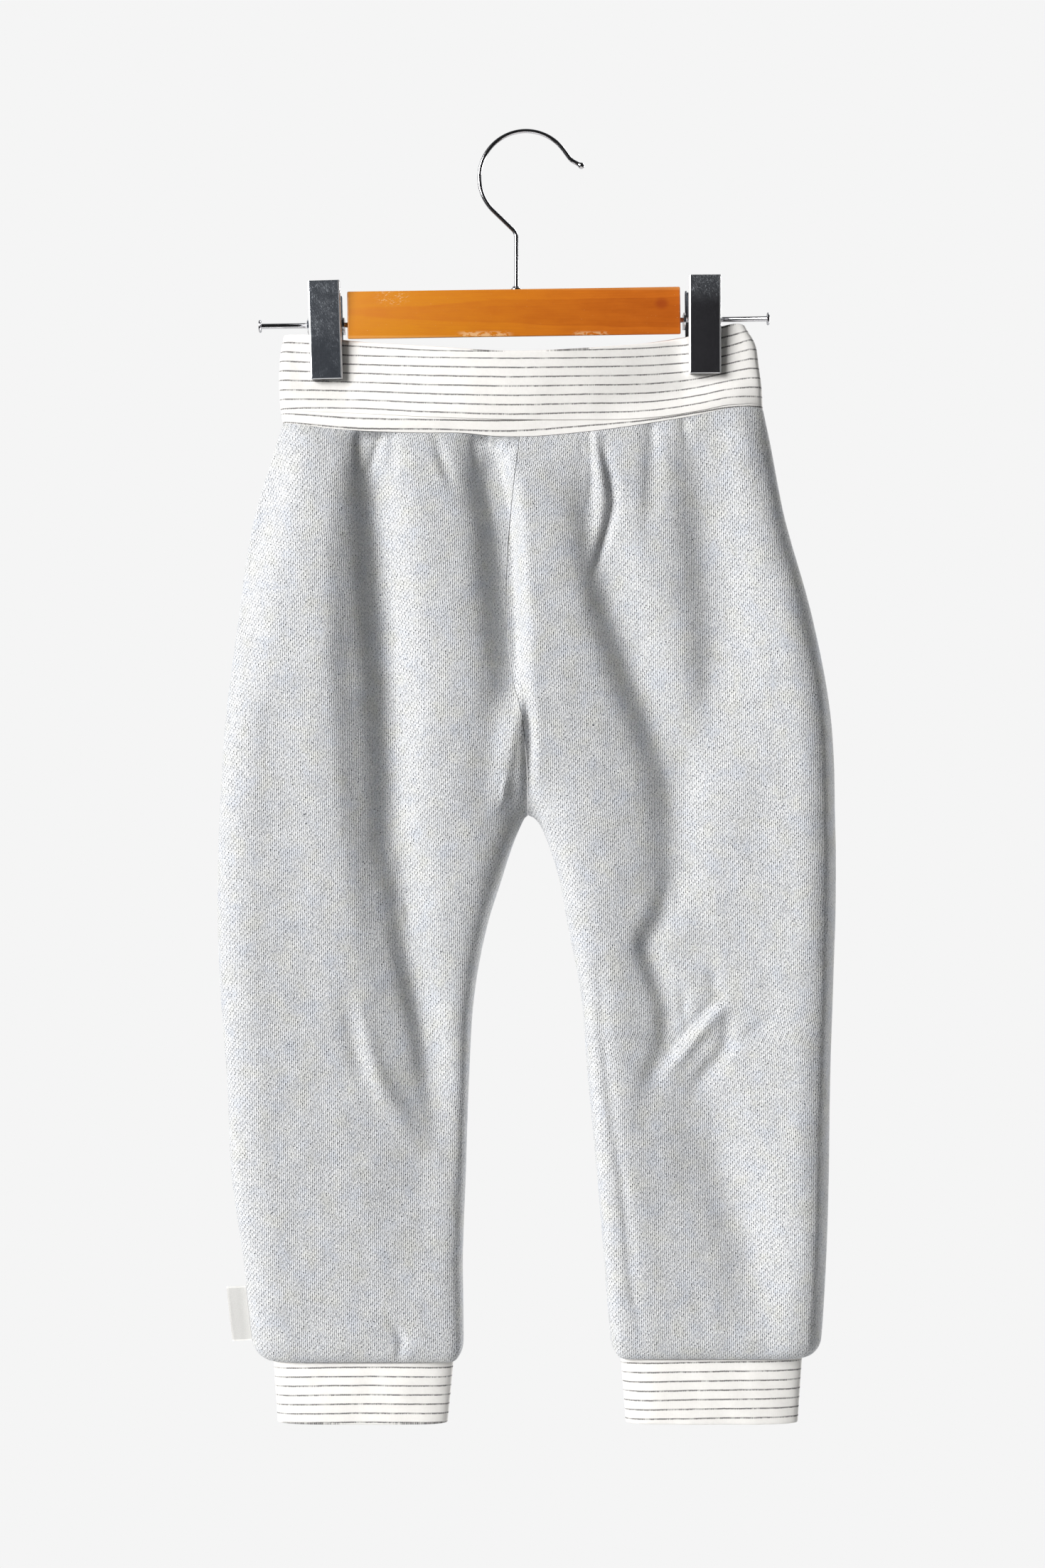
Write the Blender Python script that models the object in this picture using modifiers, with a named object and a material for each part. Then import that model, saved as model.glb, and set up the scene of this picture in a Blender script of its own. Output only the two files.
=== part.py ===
"""A child's sweatpants hanging from a wooden clip hanger.

Lengths are written in millimetres and angles in degrees; MM turns lengths into metres.
+X is the viewer's right, -Y faces the viewer, +Z is up. The origin is the hook's inner top,
where the hanger hangs on a rail. "down" is a distance below the origin.
"""
import math
from collections import namedtuple

import bmesh
import bpy
import numpy as np
from mathutils import Matrix

MM = 0.001
GAP = 0.3                      # between neighbouring solids

# Cloth
SWEAT_WALL = 2.0               # loopback sweat cloth
BAND_WALL = 2.2                # rib jersey, doubled
SIDE_ROUNDING = 70.0           # reach of the rounding inwards from a side seam
SIDE_POWER = 0.8               # 1 is an ellipse, less is blunter
PANEL_COLUMNS = 13
COLUMN_BUNCHING = 0.65         # how far the columns gather towards the seams, 0 to 1

# Leg panels: side seams and half depths at each level
Level = namedtuple("Level", "name down left_out right_out front back")
LEVELS = (
    Level("waist seam", 173, -142.8, 139.2, 9.5, 9.5),
    Level("gathers", 188, -147.8, 142.7, 15.0, 15.0),
    Level("high hip", 226, -159.5, 151.2, 19.0, 20.0),
    Level("hip", 290, -169.5, 168.2, 22.0, 24.0),
    Level("seat", 345, -176.3, 178.5, 22.5, 25.0),
    Level("crotch", 401, -179.9, 181.0, 21.0, 23.0),
    Level("thigh", 452, -181.0, 181.4, 20.0, 20.0),
    Level("above knee", 505, -179.4, 179.8, 18.5, 18.0),
    Level("knee", 557, -175.4, 178.2, 18.0, 17.0),
    Level("calf", 613, -172.8, 177.6, 16.5, 16.0),
    Level("low calf", 660, -166.2, 176.2, 15.5, 15.0),
    Level("above hem", 705, -161.2, 173.6, 14.0, 14.0),
    Level("hem", 723, -158.8, 171.8, 13.5, 13.5),
)
WAIST_DOWN = 173.0
# Each panel is built in lengths, one above the other, so that its collision pieces leave the leg open
Length = namedtuple("Length", "name top foot")
PANEL_LENGTHS = (Length("hip", 0, 410), Length("thigh", 410, 560), Length("calf", 560, 1000))
CROTCH_DOWN = 401.0
GROOVE_DOWN = 329.0            # where the groove between the legs begins, above the crotch
CROTCH_STEEPNESS = 1.3         # front-to-back opening of the crotch saddle, for each unit across
WIDEST_ARCH = 12.0             # past this the inseam's rounding grows no more
CENTRE_X_CROTCH = 1.2

# The seam between the legs, above the crotch
SeamPoint = namedtuple("SeamPoint", "down x")
CENTRE_SEAM = (SeamPoint(173, -3.8), SeamPoint(225, -9.0), SeamPoint(264, -11.5), SeamPoint(300, -10.5),
               SeamPoint(320, -8.0), SeamPoint(340, -3.0), SeamPoint(360, -0.4),
               SeamPoint(401, CENTRE_X_CROTCH))

# Inseams, below the crotch
Inseam = namedtuple("Inseam", "down left_in right_in")
INSEAMS = (
    Inseam(401, 1.2, 1.2),
    Inseam(408, -3.3, 8.9),
    Inseam(419, -7.8, 13.4),
    Inseam(440, -14.6, 19.7),
    Inseam(465, -22.4, 24.3),
    Inseam(509, -30.5, 32.5),
    Inseam(557, -33.4, 36.4),
    Inseam(613, -35.3, 41.7),
    Inseam(660, -36.9, 45.6),
    Inseam(705, -36.5, 49.2),
    Inseam(723, -36.5, 50.7),
)

# The seam between waistband and legs, and the waistband's top edges
EdgePoint = namedtuple("EdgePoint", "x down")
WAIST_SEAM = (EdgePoint(-143, 171.0), EdgePoint(-108, 175.6), EdgePoint(-11, 179.7),
              EdgePoint(39, 176.6), EdgePoint(92, 168.8), EdgePoint(131, 162.0),
              EdgePoint(140, 162.5))
BAND_TOP_FRONT = (EdgePoint(-143, 120.0), EdgePoint(-127, 120.0), EdgePoint(-107, 123.0),
                  EdgePoint(-62, 127.2), EdgePoint(-10, 131.0), EdgePoint(43, 128.2),
                  EdgePoint(91, 122.0), EdgePoint(102, 119.2), EdgePoint(115, 115.0),
                  EdgePoint(125, 113.4), EdgePoint(130, 114.5))
BAND_TOP_BACK = (EdgePoint(-143, 120.0), EdgePoint(-127, 120.0), EdgePoint(-107, 123.0),
                 EdgePoint(-97, 124.0), EdgePoint(-69, 124.0), EdgePoint(-49, 120.0),
                 EdgePoint(-1, 118.8), EdgePoint(37, 118.4), EdgePoint(57, 122.0),
                 EdgePoint(87, 122.0), EdgePoint(102, 119.2), EdgePoint(115, 115.0),
                 EdgePoint(125, 113.4), EdgePoint(130, 114.5))
SEAM_FADE = 60.0               # below the waist the rows level out over this length

# Waistband: its ends, from the seam (rise 0) to the top edge (rise 1)
BandEnd = namedtuple("BandEnd", "rise left right")
BAND_ENDS = (BandEnd(0.0, -142.8, 139.2), BandEnd(0.3, -144.5, 138.8), BandEnd(0.6, -145.0, 136.8),
             BandEnd(0.85, -144.0, 134.2), BandEnd(1.0, -142.3, 129.2))
BAND_RISES = (0.0, 0.1, 0.22, 0.36, 0.5, 0.75, 1.0)
PINCHED_BY = 0.42              # the clips hold it shut from this rise up
PINCH_MARGIN = 3.0             # and this far past each side of a clip
PINCH_HALF = BAND_WALL + GAP
MOUTH_HALF = 11.5              # half depth of the open top, midway between the clips
LOOSE_END_HALF = 3.6           # half depth of the two ends outside the clips

# Cuffs
Cuff = namedtuple("Cuff", "name side top_down left_top right_top left_foot right_foot")
CUFFS = (Cuff("cuff_left", -1, 720.8, -148.2, -42.5, -145.8, -45.9),
         Cuff("cuff_right", 1, 718.8, 55.7, 162.2, 58.6, 159.7))
CUFF_FOOT_DOWN = 757.2
CUFF_HALF = 7.0
CUFF_ROUNDING = 30.0
HEM_ROLL = 12.0                # the leg's end turns in over this height to meet the cuff
HEM_LIP = 1.0                  # and ends this far inside the cuff's outline

# Largest folds of the legs: a path of (x, down) points, a width and a depth into the body
Fold = namedtuple("Fold", "name face width depth path")
FOLDS = (
    Fold("left thigh trough", -1, 26, 9.0,
         ((-98, 181), (-96, 241), (-92, 316), (-86, 373), (-86, 414))),
    Fold("left knee trough", -1, 15, 5.5, ((-86, 414), (-76, 456), (-64, 501), (-61, 537), (-51, 587))),
    Fold("centre trough", -1, 20, 10.0, ((-28, 185), (-17, 233), (-12, 295), (-8, 332), (-20, 380))),
    Fold("right thigh trough", -1, 24, 8.5,
         ((31, 203), (41, 258), (58, 311), (78, 373), (81, 426), (70, 472))),
    Fold("right knee trough", -1, 16, 4.5, ((70, 472), (81, 521), (70, 558))),
    Fold("right hip trough", -1, 20, 6.5, ((95, 193), (101, 250), (103, 324), (99, 356), (82, 385))),
    Fold("pleat ridge", -1, 10, -3.0, ((41, 183), (46, 217), (41, 242))),
    Fold("left knee ridge", -1, 16, -3.5, ((-80, 480), (-90, 530), (-66, 579))),
    Fold("right knee ridge", -1, 14, -4.5, ((117, 509), (96, 542), (70, 571))),
    Fold("right calf trough", -1, 22, 3.0, ((99, 541), (107, 603), (123, 653), (132, 698))),
    Fold("back left trough", 1, 26, 6.0, ((-70, 183), (-82, 252), (-89, 331), (-95, 419), (-83, 518))),
    Fold("back centre trough", 1, 18, 5.0, ((13, 185), (5, 242), (1, 301), (11, 372))),
    Fold("back right trough", 1, 26, 5.5, ((76, 181), (86, 262), (96, 351), (102, 429), (94, 498))),
    Fold("back left knee ridge", 1, 18, -3.0, ((-129, 518), (-103, 553), (-80, 597))),
    Fold("back right knee ridge", 1, 18, -3.0, ((80, 528), (107, 563), (131, 608))),
)
FOLD_FULLEST = 0.4             # share of a fold's length where it is deepest
FOLD_ENDS = 0.6                # how much shallower its far end is
FOLD_NEEDS = 8.0               # folds die out where the leg's half depth is less than this
FOLD_START = 14.0              # and they grow from nothing over this length below the waist seam

# The side label, in the left side seam
LABEL_TOP_DOWN = 677.0
LABEL_LENGTH = 32.5
LABEL_REACH = 11.5
LABEL_THICKNESS = 0.9

# Hanger
HANGER_TILT = -0.85            # about Y: the right-hand end is up
BAR = {"x": -7.1, "down": 106.8, "length": 195.0, "depth": 11.0, "height": 27.9, "edge": 0.8}
ROD = {"x": -7.0, "down": 111.4, "length": 300.0, "radius": 1.5, "head_radius": 3.7, "head": 1.3}
HOOK = {"wire": 1.2, "turn": 27.4, "stem_x": -5.7, "stem_in_bar": 11.0,
        "throat_angle": 226.0, "end_angle": 36.0, "neck_bend": 7.0,
        "end_straight": 7.3, "tip_length": 8.6, "tip_angle": -28.0}
COLLAR = {"radius": 3.3, "height": 2.6, "chamfer": 1.2}
Clip = namedtuple("Clip", "name x tilt rear_shift")
CLIPS = (Clip("clip_left", -117.5, -1.6, 0.0), Clip("clip_right", 104.6, -0.4, -1.2))
JAW = {"width": 18.9, "above_rod": 24.6, "rear_above_rod": 18.5, "below_rod": 32.4, "channel": 4.2,
       "sheet": 1.1, "lean": 3.6, "ear_radius": 4.2, "ear_sink": 0.5, "tab": 0.45}
SPRING = {"inner": 1.9, "outer": 3.4, "length": 11.0}

# name: (colour, roughness, metallic)
MATERIALS = {
    "sweat_cloth": ((0.60, 0.62, 0.64), 0.95, 0.0),
    "rib_jersey": ((0.90, 0.89, 0.86), 0.9, 0.0),
    "label_tape": ((0.60, 0.59, 0.57), 0.8, 0.0),
    "varnished_wood": ((0.58, 0.24, 0.035), 0.35, 0.0),
    "chrome": ((0.75, 0.75, 0.76), 0.15, 1.0),
    "dark_chrome": ((0.12, 0.13, 0.14), 0.25, 1.0),
}


# ---------------------------------------------------------------- shape maths

def smoothstep(value):
    t = np.clip(value, 0.0, 1.0)
    return t * t * (3.0 - 2.0 * t)


def curve_through(places, values):
    """A smooth curve through the values at the places, held level past its ends."""
    places = np.array(places, dtype=float)
    values = np.array(values, dtype=float)
    slopes = np.gradient(values, places)

    def at(place):
        place = np.clip(place, places[0], places[-1])
        i = np.clip(np.searchsorted(places, place, side="right") - 1, 0, len(places) - 2)
        span = places[i + 1] - places[i]
        t = (place - places[i]) / span
        return ((2 * t**3 - 3 * t**2 + 1) * values[i] + (t**3 - 2 * t**2 + t) * span * slopes[i]
                + (3 * t**2 - 2 * t**3) * values[i + 1] + (t**3 - t**2) * span * slopes[i + 1])

    return at


def column(rows, name):
    return [getattr(row, name) for row in rows]


def curve_of(rows, along, value):
    return curve_through(column(rows, along), column(rows, value))


SIDE_SEAM = {-1: curve_of(LEVELS, "down", "left_out"), 1: curve_of(LEVELS, "down", "right_out")}
HALF_DEPTH = {-1: curve_of(LEVELS, "down", "front"), 1: curve_of(LEVELS, "down", "back")}
CENTRE_LINE = curve_of(CENTRE_SEAM, "down", "x")
ARCH = [math.sqrt(row.down - CROTCH_DOWN) for row in INSEAMS]
INSEAM = {-1: curve_through(ARCH, column(INSEAMS, "left_in")),
          1: curve_through(ARCH, column(INSEAMS, "right_in"))}
SEAM_LINE = curve_of(WAIST_SEAM, "x", "down")
BAND_TOP = {-1: curve_of(BAND_TOP_FRONT, "x", "down"), 1: curve_of(BAND_TOP_BACK, "x", "down")}
CUFF_OF_SIDE = {cuff.side: cuff for cuff in CUFFS}


def side_rounding(distance, reach=SIDE_ROUNDING):
    """0 at a seam edge, 1 where the cloth lies flat, at the reach and beyond."""
    inward = np.clip(distance / reach, 0.0, 1.0)
    return np.power(1.0 - (1.0 - inward) ** 2, SIDE_POWER / 2.0)


def distance_to_path(x, down, path):
    """Distance to a path of points, and how far along it the nearest place is, 0 to 1."""
    nearest = np.full(np.shape(x), 1e9)
    along = np.zeros(np.shape(x))
    steps = len(path) - 1
    for index in range(steps):
        (x0, d0), (x1, d1) = path[index], path[index + 1]
        run_x, run_d = x1 - x0, d1 - d0
        t = np.clip(((x - x0) * run_x + (down - d0) * run_d) / (run_x**2 + run_d**2), 0.0, 1.0)
        gap = np.hypot(x - x0 - t * run_x, down - d0 - t * run_d)
        along = np.where(gap < nearest, (index + t) / steps, along)
        nearest = np.minimum(nearest, gap)
    return nearest, along


def fold_depth(x, down, face):
    """How far the folds push the cloth into the body; a ridge is less than 0."""
    total = np.zeros(np.shape(x))
    for fold in FOLDS:
        if fold.face == face:
            gap, along = distance_to_path(x, down, fold.path)
            fading = 1.0 - FOLD_ENDS * ((along - FOLD_FULLEST) / 0.5) ** 2
            total += fold.depth * fading * np.exp(-((gap / (0.5 * fold.width)) ** 2))
    return total


def leg_surface(side, face, across, down):
    """A point of a leg's outside. across runs from the side seam (0) to the centre or inseam (1)."""
    cuff = CUFF_OF_SIDE[side]
    above = down <= CROTCH_DOWN
    arch = np.sqrt(np.maximum(down - CROTCH_DOWN, 0.0))
    out = SIDE_SEAM[side](down)
    inner = np.where(above, CENTRE_LINE(down) + side * GAP / 2, INSEAM[side](arch) + side * GAP / 2)
    depth = HALF_DEPTH[face](down)

    # columns gather at the side seam, and below the crotch at the inseam too
    turn = 0.5 + 0.5 * smoothstep((down - GROOVE_DOWN) / (CROTCH_DOWN - GROOVE_DOWN))
    bunched = (1.0 - np.cos(np.pi * turn * across)) / (1.0 - np.cos(np.pi * turn))
    share = COLUMN_BUNCHING * bunched + (1.0 - COLUMN_BUNCHING) * across

    # the rolled hem draws the section in to the cuff's
    level = np.clip((cuff.top_down - down) / HEM_ROLL, 0.0, 1.0)
    roll = 1.0 - np.sqrt(1.0 - (1.0 - level) ** 2)
    cuff_out, cuff_in = ((cuff.left_top, cuff.right_top) if side < 0
                         else (cuff.right_top, cuff.left_top))
    out = out + roll * (cuff_out - side * HEM_LIP - out)
    inner = inner + roll * (cuff_in + side * HEM_LIP - inner)
    depth = depth + roll * (CUFF_HALF - HEM_LIP - depth)
    x = out + (inner - out) * share

    full = depth * side_rounding(np.abs(x - out))
    from_inner = np.abs(inner - x)
    fall = np.clip((down - GROOVE_DOWN) / (CROTCH_DOWN - GROOVE_DOWN), 1e-4, 1.0)
    seam_half = depth * np.sqrt(1.0 - fall**2) / fall
    opening = np.abs(INSEAM[side](arch) - CENTRE_X_CROTCH)
    opening = opening / (1.0 + opening / WIDEST_ARCH)
    saddle = CROTCH_STEEPNESS**2 * (from_inner**2 + 2.0 * opening * from_inner)
    saddle = saddle + np.where(above, seam_half**2, 0.0)
    half = full / np.sqrt(1.0 + full**2 / np.maximum(saddle, 1e-6))

    folds = fold_depth(x, down, face) * smoothstep(half / FOLD_NEEDS) * (1.0 - roll)
    top_fade = smoothstep((down - WAIST_DOWN) / FOLD_START)
    y = face * (GAP / 2 + half - folds * top_fade)
    lift = (WAIST_DOWN - SEAM_LINE(x)) * (1.0 - smoothstep((down - WAIST_DOWN) / SEAM_FADE))
    return np.stack([x, y, lift - down], axis=-1)


def leg_normals(side, face, across, down):
    """Outward normals of leg_surface, square to the seams on its edges."""
    step = 1e-3
    sideways = (leg_surface(side, face, np.minimum(across + step, 1.0), down)
                - leg_surface(side, face, np.maximum(across - step, 0.0), down))
    last = CUFF_OF_SIDE[side].top_down
    drop = 0.05
    downwards = (leg_surface(side, face, across, np.minimum(down + drop, last))
                 - leg_surface(side, face, across, np.maximum(down - drop, WAIST_DOWN)))
    normals = -side * face * np.cross(sideways, downwards)
    at_side, at_inner = across <= 0.0, across >= 1.0
    normals[..., 1] = np.where(at_side | (at_inner & (down >= CROTCH_DOWN)), 0.0, normals[..., 1])
    normals[..., 0] = np.where(at_inner & (down <= CROTCH_DOWN), 0.0, normals[..., 0])
    return normals / np.linalg.norm(normals, axis=-1, keepdims=True)


def leg_rows(side):
    """Levels of the rows of faces, closer together at the waist, the crotch and the hem."""
    last = CUFF_OF_SIDE[side].top_down
    bands = ((WAIST_DOWN, 191, 4), (191, 345, 7), (345, 396, 4), (396, CROTCH_DOWN, 1),
             (CROTCH_DOWN, 410, 2), (410, 440, 2), (440, 560, 5), (560, last - HEM_ROLL, 6))
    rows = [start + (stop - start) * i / count for start, stop, count in bands for i in range(count)]
    rows += [last - HEM_ROLL * share for share in (1.0, 0.5, 0.15, 0.0)]
    return np.array(rows)


# ---------------------------------------------------------------- mesh helpers

def new_object(name, mesh, material, collection):
    obj = bpy.data.objects.new(name, mesh)
    collection.objects.link(obj)
    if material:
        mesh.materials.append(material)
    return obj


def object_from_bmesh(name, bm, material, collection, smooth_angle=None):
    mesh = bpy.data.meshes.new(name)
    bmesh.ops.recalc_face_normals(bm, faces=bm.faces)
    bm.to_mesh(mesh)
    bm.free()
    if smooth_angle is not None:
        mesh.shade_smooth()
        mesh.set_sharp_from_angle(angle=math.radians(smooth_angle))
    return new_object(name, mesh, material, collection)


def cloth_solid(name, outer, inner, material, collection, ring=False):
    """A closed wall between an outer and an inner grid of points; a ring joins its ends."""
    rows, columns = outer.shape[:2]
    bm = bmesh.new()
    skins = []
    for grid in (outer, inner):
        skins.append([[bm.verts.new(point * MM) for point in row] for row in grid])
    across = range(columns if ring else columns - 1)
    for skin, flip in zip(skins, (False, True)):
        for i in range(rows - 1):
            for j in across:
                k = (j + 1) % columns
                face = [skin[i][j], skin[i][k], skin[i + 1][k], skin[i + 1][j]]
                bm.faces.new(face[::-1] if flip else face)
    out, into = skins
    for i in (0, rows - 1):
        for j in across:
            k = (j + 1) % columns
            bm.faces.new([out[i][j], into[i][j], into[i][k], out[i][k]])
    if not ring:
        for j in (0, columns - 1):
            for i in range(rows - 1):
                bm.faces.new([out[i][j], out[i + 1][j], into[i + 1][j], into[i][j]])
    return object_from_bmesh(name, bm, material, collection, smooth_angle=60)


def inward_of_ring(grid, thickness):
    """The ring's points moved inwards along normals taken from their neighbours."""
    around = np.roll(grid, -1, axis=1) - np.roll(grid, 1, axis=1)
    downwards = np.gradient(grid, axis=0)
    normals = np.cross(around, downwards)
    normals /= np.linalg.norm(normals, axis=-1, keepdims=True)
    centre = grid.mean(axis=1, keepdims=True)
    outward = np.sign(np.sum((grid - centre) * normals, axis=(1, 2), keepdims=True))
    normals[..., 2] = 0.0
    normals /= np.linalg.norm(normals, axis=-1, keepdims=True)
    return grid - outward * normals * thickness


def box(bm, low, high):
    size = [h - l for l, h in zip(low, high)]
    middle = [(h + l) / 2 for l, h in zip(low, high)]
    matrix = Matrix.Translation([m * MM for m in middle]) @ Matrix.Diagonal([s * MM for s in size] + [1])
    return bmesh.ops.create_cube(bm, size=1.0, matrix=matrix)


def rod_along_x(bm, x0, x1, radius, sides=16):
    matrix = Matrix.Translation([(x0 + x1) / 2 * MM, 0, 0]) @ Matrix.Rotation(math.pi / 2, 4, "Y")
    return bmesh.ops.create_cone(bm, cap_ends=True, segments=sides, radius1=radius * MM,
                                 radius2=radius * MM, depth=(x1 - x0) * MM, matrix=matrix)


def turned(name, profile, material, collection, sides=16):
    """A solid turned about Z from (radius, height) points that run down its outer side."""
    mesh = bpy.data.meshes.new(name)
    points = [(radius * MM, 0.0, height * MM) for radius, height in profile]
    edges = [(i, i + 1) for i in range(len(points) - 1)]
    if profile[0][0] > 0.0:
        edges.append((len(points) - 1, 0))
    mesh.from_pydata(points, edges, [])
    obj = new_object(name, mesh, material, collection)
    screw = obj.modifiers.new("turn", "SCREW")
    screw.steps = screw.render_steps = sides
    screw.use_merge_vertices = True
    screw.merge_threshold = 0.00001
    return obj


def combine(obj, other, operation):
    other.hide_render = True
    other.display_type = "WIRE"
    boolean = obj.modifiers.new(operation.lower(), "BOOLEAN")
    boolean.operation = operation
    boolean.object = other


def wire(name, path, radius, material, collection, swell=None):
    """A round wire along a path; swell gives the end points' radii as shares of the wire's."""
    curve = bpy.data.curves.new(name, "CURVE")
    curve.dimensions = "3D"
    curve.bevel_depth = radius * MM
    curve.bevel_resolution = 3
    curve.use_fill_caps = True
    spline = curve.splines.new("POLY")
    spline.points.add(len(path) - 1)
    for point, place in zip(spline.points, path):
        point.co = [c * MM for c in place] + [1.0]
    for index, share in (swell or {}).items():
        spline.points[index].radius = share
    curve.materials.append(material)
    obj = bpy.data.objects.new(name, curve)
    collection.objects.link(obj)
    return obj


def arc(centre, radius, start, stop, steps):
    """Points of an arc in the XZ plane, angles in degrees from +X towards +Z."""
    angles = [math.radians(start + (stop - start) * i / steps) for i in range(steps + 1)]
    return [(centre[0] + radius * math.cos(a), 0.0, centre[1] + radius * math.sin(a)) for a in angles]


# ---------------------------------------------------------------- cloth

def make_leg_panels(materials, collection):
    for side, side_name in ((-1, "left"), (1, "right")):
        for length in PANEL_LENGTHS:
            rows = np.array([row for row in leg_rows(side) if length.top <= row <= length.foot])
            if length.foot == rows[-1]:
                rows[-1] -= GAP / 2
            if length.top == rows[0]:
                rows[0] += GAP / 2
            across, down = np.meshgrid(np.linspace(0.0, 1.0, PANEL_COLUMNS + 1), rows)
            for face, face_name in ((-1, "front"), (1, "back")):
                outer = leg_surface(side, face, across, down)
                inner = outer - SWEAT_WALL * leg_normals(side, face, across, down)
                if rows[0] == WAIST_DOWN:
                    outer[0, :, 2] -= GAP / 2
                    inner[0, :, 2] = outer[0, :, 2]
                cloth_solid(f"{face_name}_{side_name}_{length.name}", outer, inner,
                            materials["sweat_cloth"], collection)


def band_stations():
    """Shares of the way from the band's left end to its right end, closer at the clips."""
    width = BAND_ENDS[0].right - BAND_ENDS[0].left
    edges = [0.0]
    for clip in CLIPS:
        middle = (clip.x - BAND_ENDS[0].left) / width
        half = (0.5 * JAW["width"] + PINCH_MARGIN) / width
        edges += [middle - half, middle + half]
    edges.append(1.0)
    counts = (0, 3, 9, 3, 0)
    shares = []
    for start, stop, count in zip(edges[:-1], edges[1:], counts):
        shares += [start + (stop - start) * i / count for i in range(count)]
    left_end = [edges[1] * (1.0 - math.cos(math.pi / 2 * i / 4)) for i in (1, 2, 3)]
    right_end = [1.0 - (1.0 - edges[-2]) * (1.0 - math.cos(math.pi / 2 * i / 4)) for i in (4, 3, 2, 1)]
    return np.array(left_end + shares + right_end)


def band_half_depth(x, left, right, rise):
    """Half depth of the waistband: the legs' lens at the seam, pinched at the clips above."""
    lens = HALF_DEPTH[-1](WAIST_DOWN) * np.minimum(side_rounding(x - left), side_rounding(right - x))
    reach = 0.5 * JAW["width"] + PINCH_MARGIN
    inner_left, inner_right = CLIPS[0].x + reach, CLIPS[1].x - reach
    mouth = np.clip((x - inner_left) / (inner_right - inner_left), 0.0, 1.0)
    top = PINCH_HALF + (MOUTH_HALF - PINCH_HALF) * np.sin(np.pi * mouth) ** 0.7
    loose = np.maximum(CLIPS[0].x - reach - x, x - CLIPS[1].x - reach)
    top = top + (LOOSE_END_HALF - PINCH_HALF) * smoothstep(loose / 6.0)
    end = np.minimum(x - left, right - x)
    top = top * side_rounding(end, reach=6.0)
    held = smoothstep(rise / PINCHED_BY)
    return lens + (top - lens) * held


def make_waistband(materials, collection):
    left_of = curve_of(BAND_ENDS, "rise", "left")
    right_of = curve_of(BAND_ENDS, "rise", "right")
    shares = band_stations()
    rows = []
    for rise in reversed(BAND_RISES):
        left, right = float(left_of(rise)), float(right_of(rise))
        ring = []
        for face, stations in ((-1, np.append(0.0, shares)), (1, np.append(1.0, shares[::-1]))):
            x = left + (right - left) * stations
            half = band_half_depth(x, left, right, rise)
            foot = SEAM_LINE(x) - GAP / 2
            down = foot + rise * (BAND_TOP[face](x) - foot)
            ring += list(np.stack([x, face * half, -down], axis=-1))
        rows.append(ring)
    outer = np.array(rows)
    inner = inward_of_ring(outer, BAND_WALL)
    cloth_solid("waistband", outer, inner, materials["rib_jersey"], collection, ring=True)


def make_cuffs(materials, collection):
    stations = 0.5 - 0.5 * np.cos(np.pi * np.linspace(0.0, 1.0, 14))
    for cuff in CUFFS:
        rows = []
        for share in (0.0, 0.35, 0.7, 1.0):
            left = cuff.left_top + share * (cuff.left_foot - cuff.left_top)
            right = cuff.right_top + share * (cuff.right_foot - cuff.right_top)
            top = cuff.top_down + GAP
            z = -(top + share * (CUFF_FOOT_DOWN - top))
            ring = []
            for face, places in ((-1, stations[:-1]), (1, stations[:0:-1])):
                x = left + (right - left) * places
                half = (CUFF_HALF * side_rounding(x - left, CUFF_ROUNDING)
                        * side_rounding(right - x, CUFF_ROUNDING))
                ring += list(np.stack([x, face * half, np.full_like(x, z)], axis=-1))
            rows.append(ring)
        outer = np.array(rows)
        inner = inward_of_ring(outer, BAND_WALL)
        cloth_solid(cuff.name, outer, inner, materials["rib_jersey"], collection, ring=True)


def make_side_label(materials, collection):
    """A flat tape whose inner edge follows the side seam."""
    steps = 4
    downs = [LABEL_TOP_DOWN + LABEL_LENGTH * i / steps for i in range(steps + 1)]
    inner = [(float(SIDE_SEAM[-1](down)) - GAP, -down) for down in downs]
    outer = [(inner[-1][0] - LABEL_REACH, -downs[-1] - 0.5), (inner[0][0] - LABEL_REACH, -downs[0] - 0.5)]
    curve = bpy.data.curves.new("side_label", "CURVE")
    curve.dimensions = "2D"
    curve.fill_mode = "BOTH"
    curve.extrude = LABEL_THICKNESS / 2 * MM
    outline = inner + outer
    spline = curve.splines.new("POLY")
    spline.use_cyclic_u = True
    spline.points.add(len(outline) - 1)
    for point, (x, z) in zip(spline.points, outline):
        point.co = (x * MM, z * MM, 0.0, 1.0)
    curve.materials.append(materials["label_tape"])
    label = bpy.data.objects.new("side_label", curve)
    label.rotation_euler = (math.pi / 2, 0.0, 0.0)
    collection.objects.link(label)


# ---------------------------------------------------------------- hanger

def rod_down(x):
    return ROD["down"] - (x - ROD["x"]) * math.tan(math.radians(-HANGER_TILT))


def tilted(obj, x, down, tilt):
    obj.location = (x * MM, 0.0, -down * MM)
    obj.rotation_euler = (0.0, math.radians(tilt), 0.0)


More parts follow.
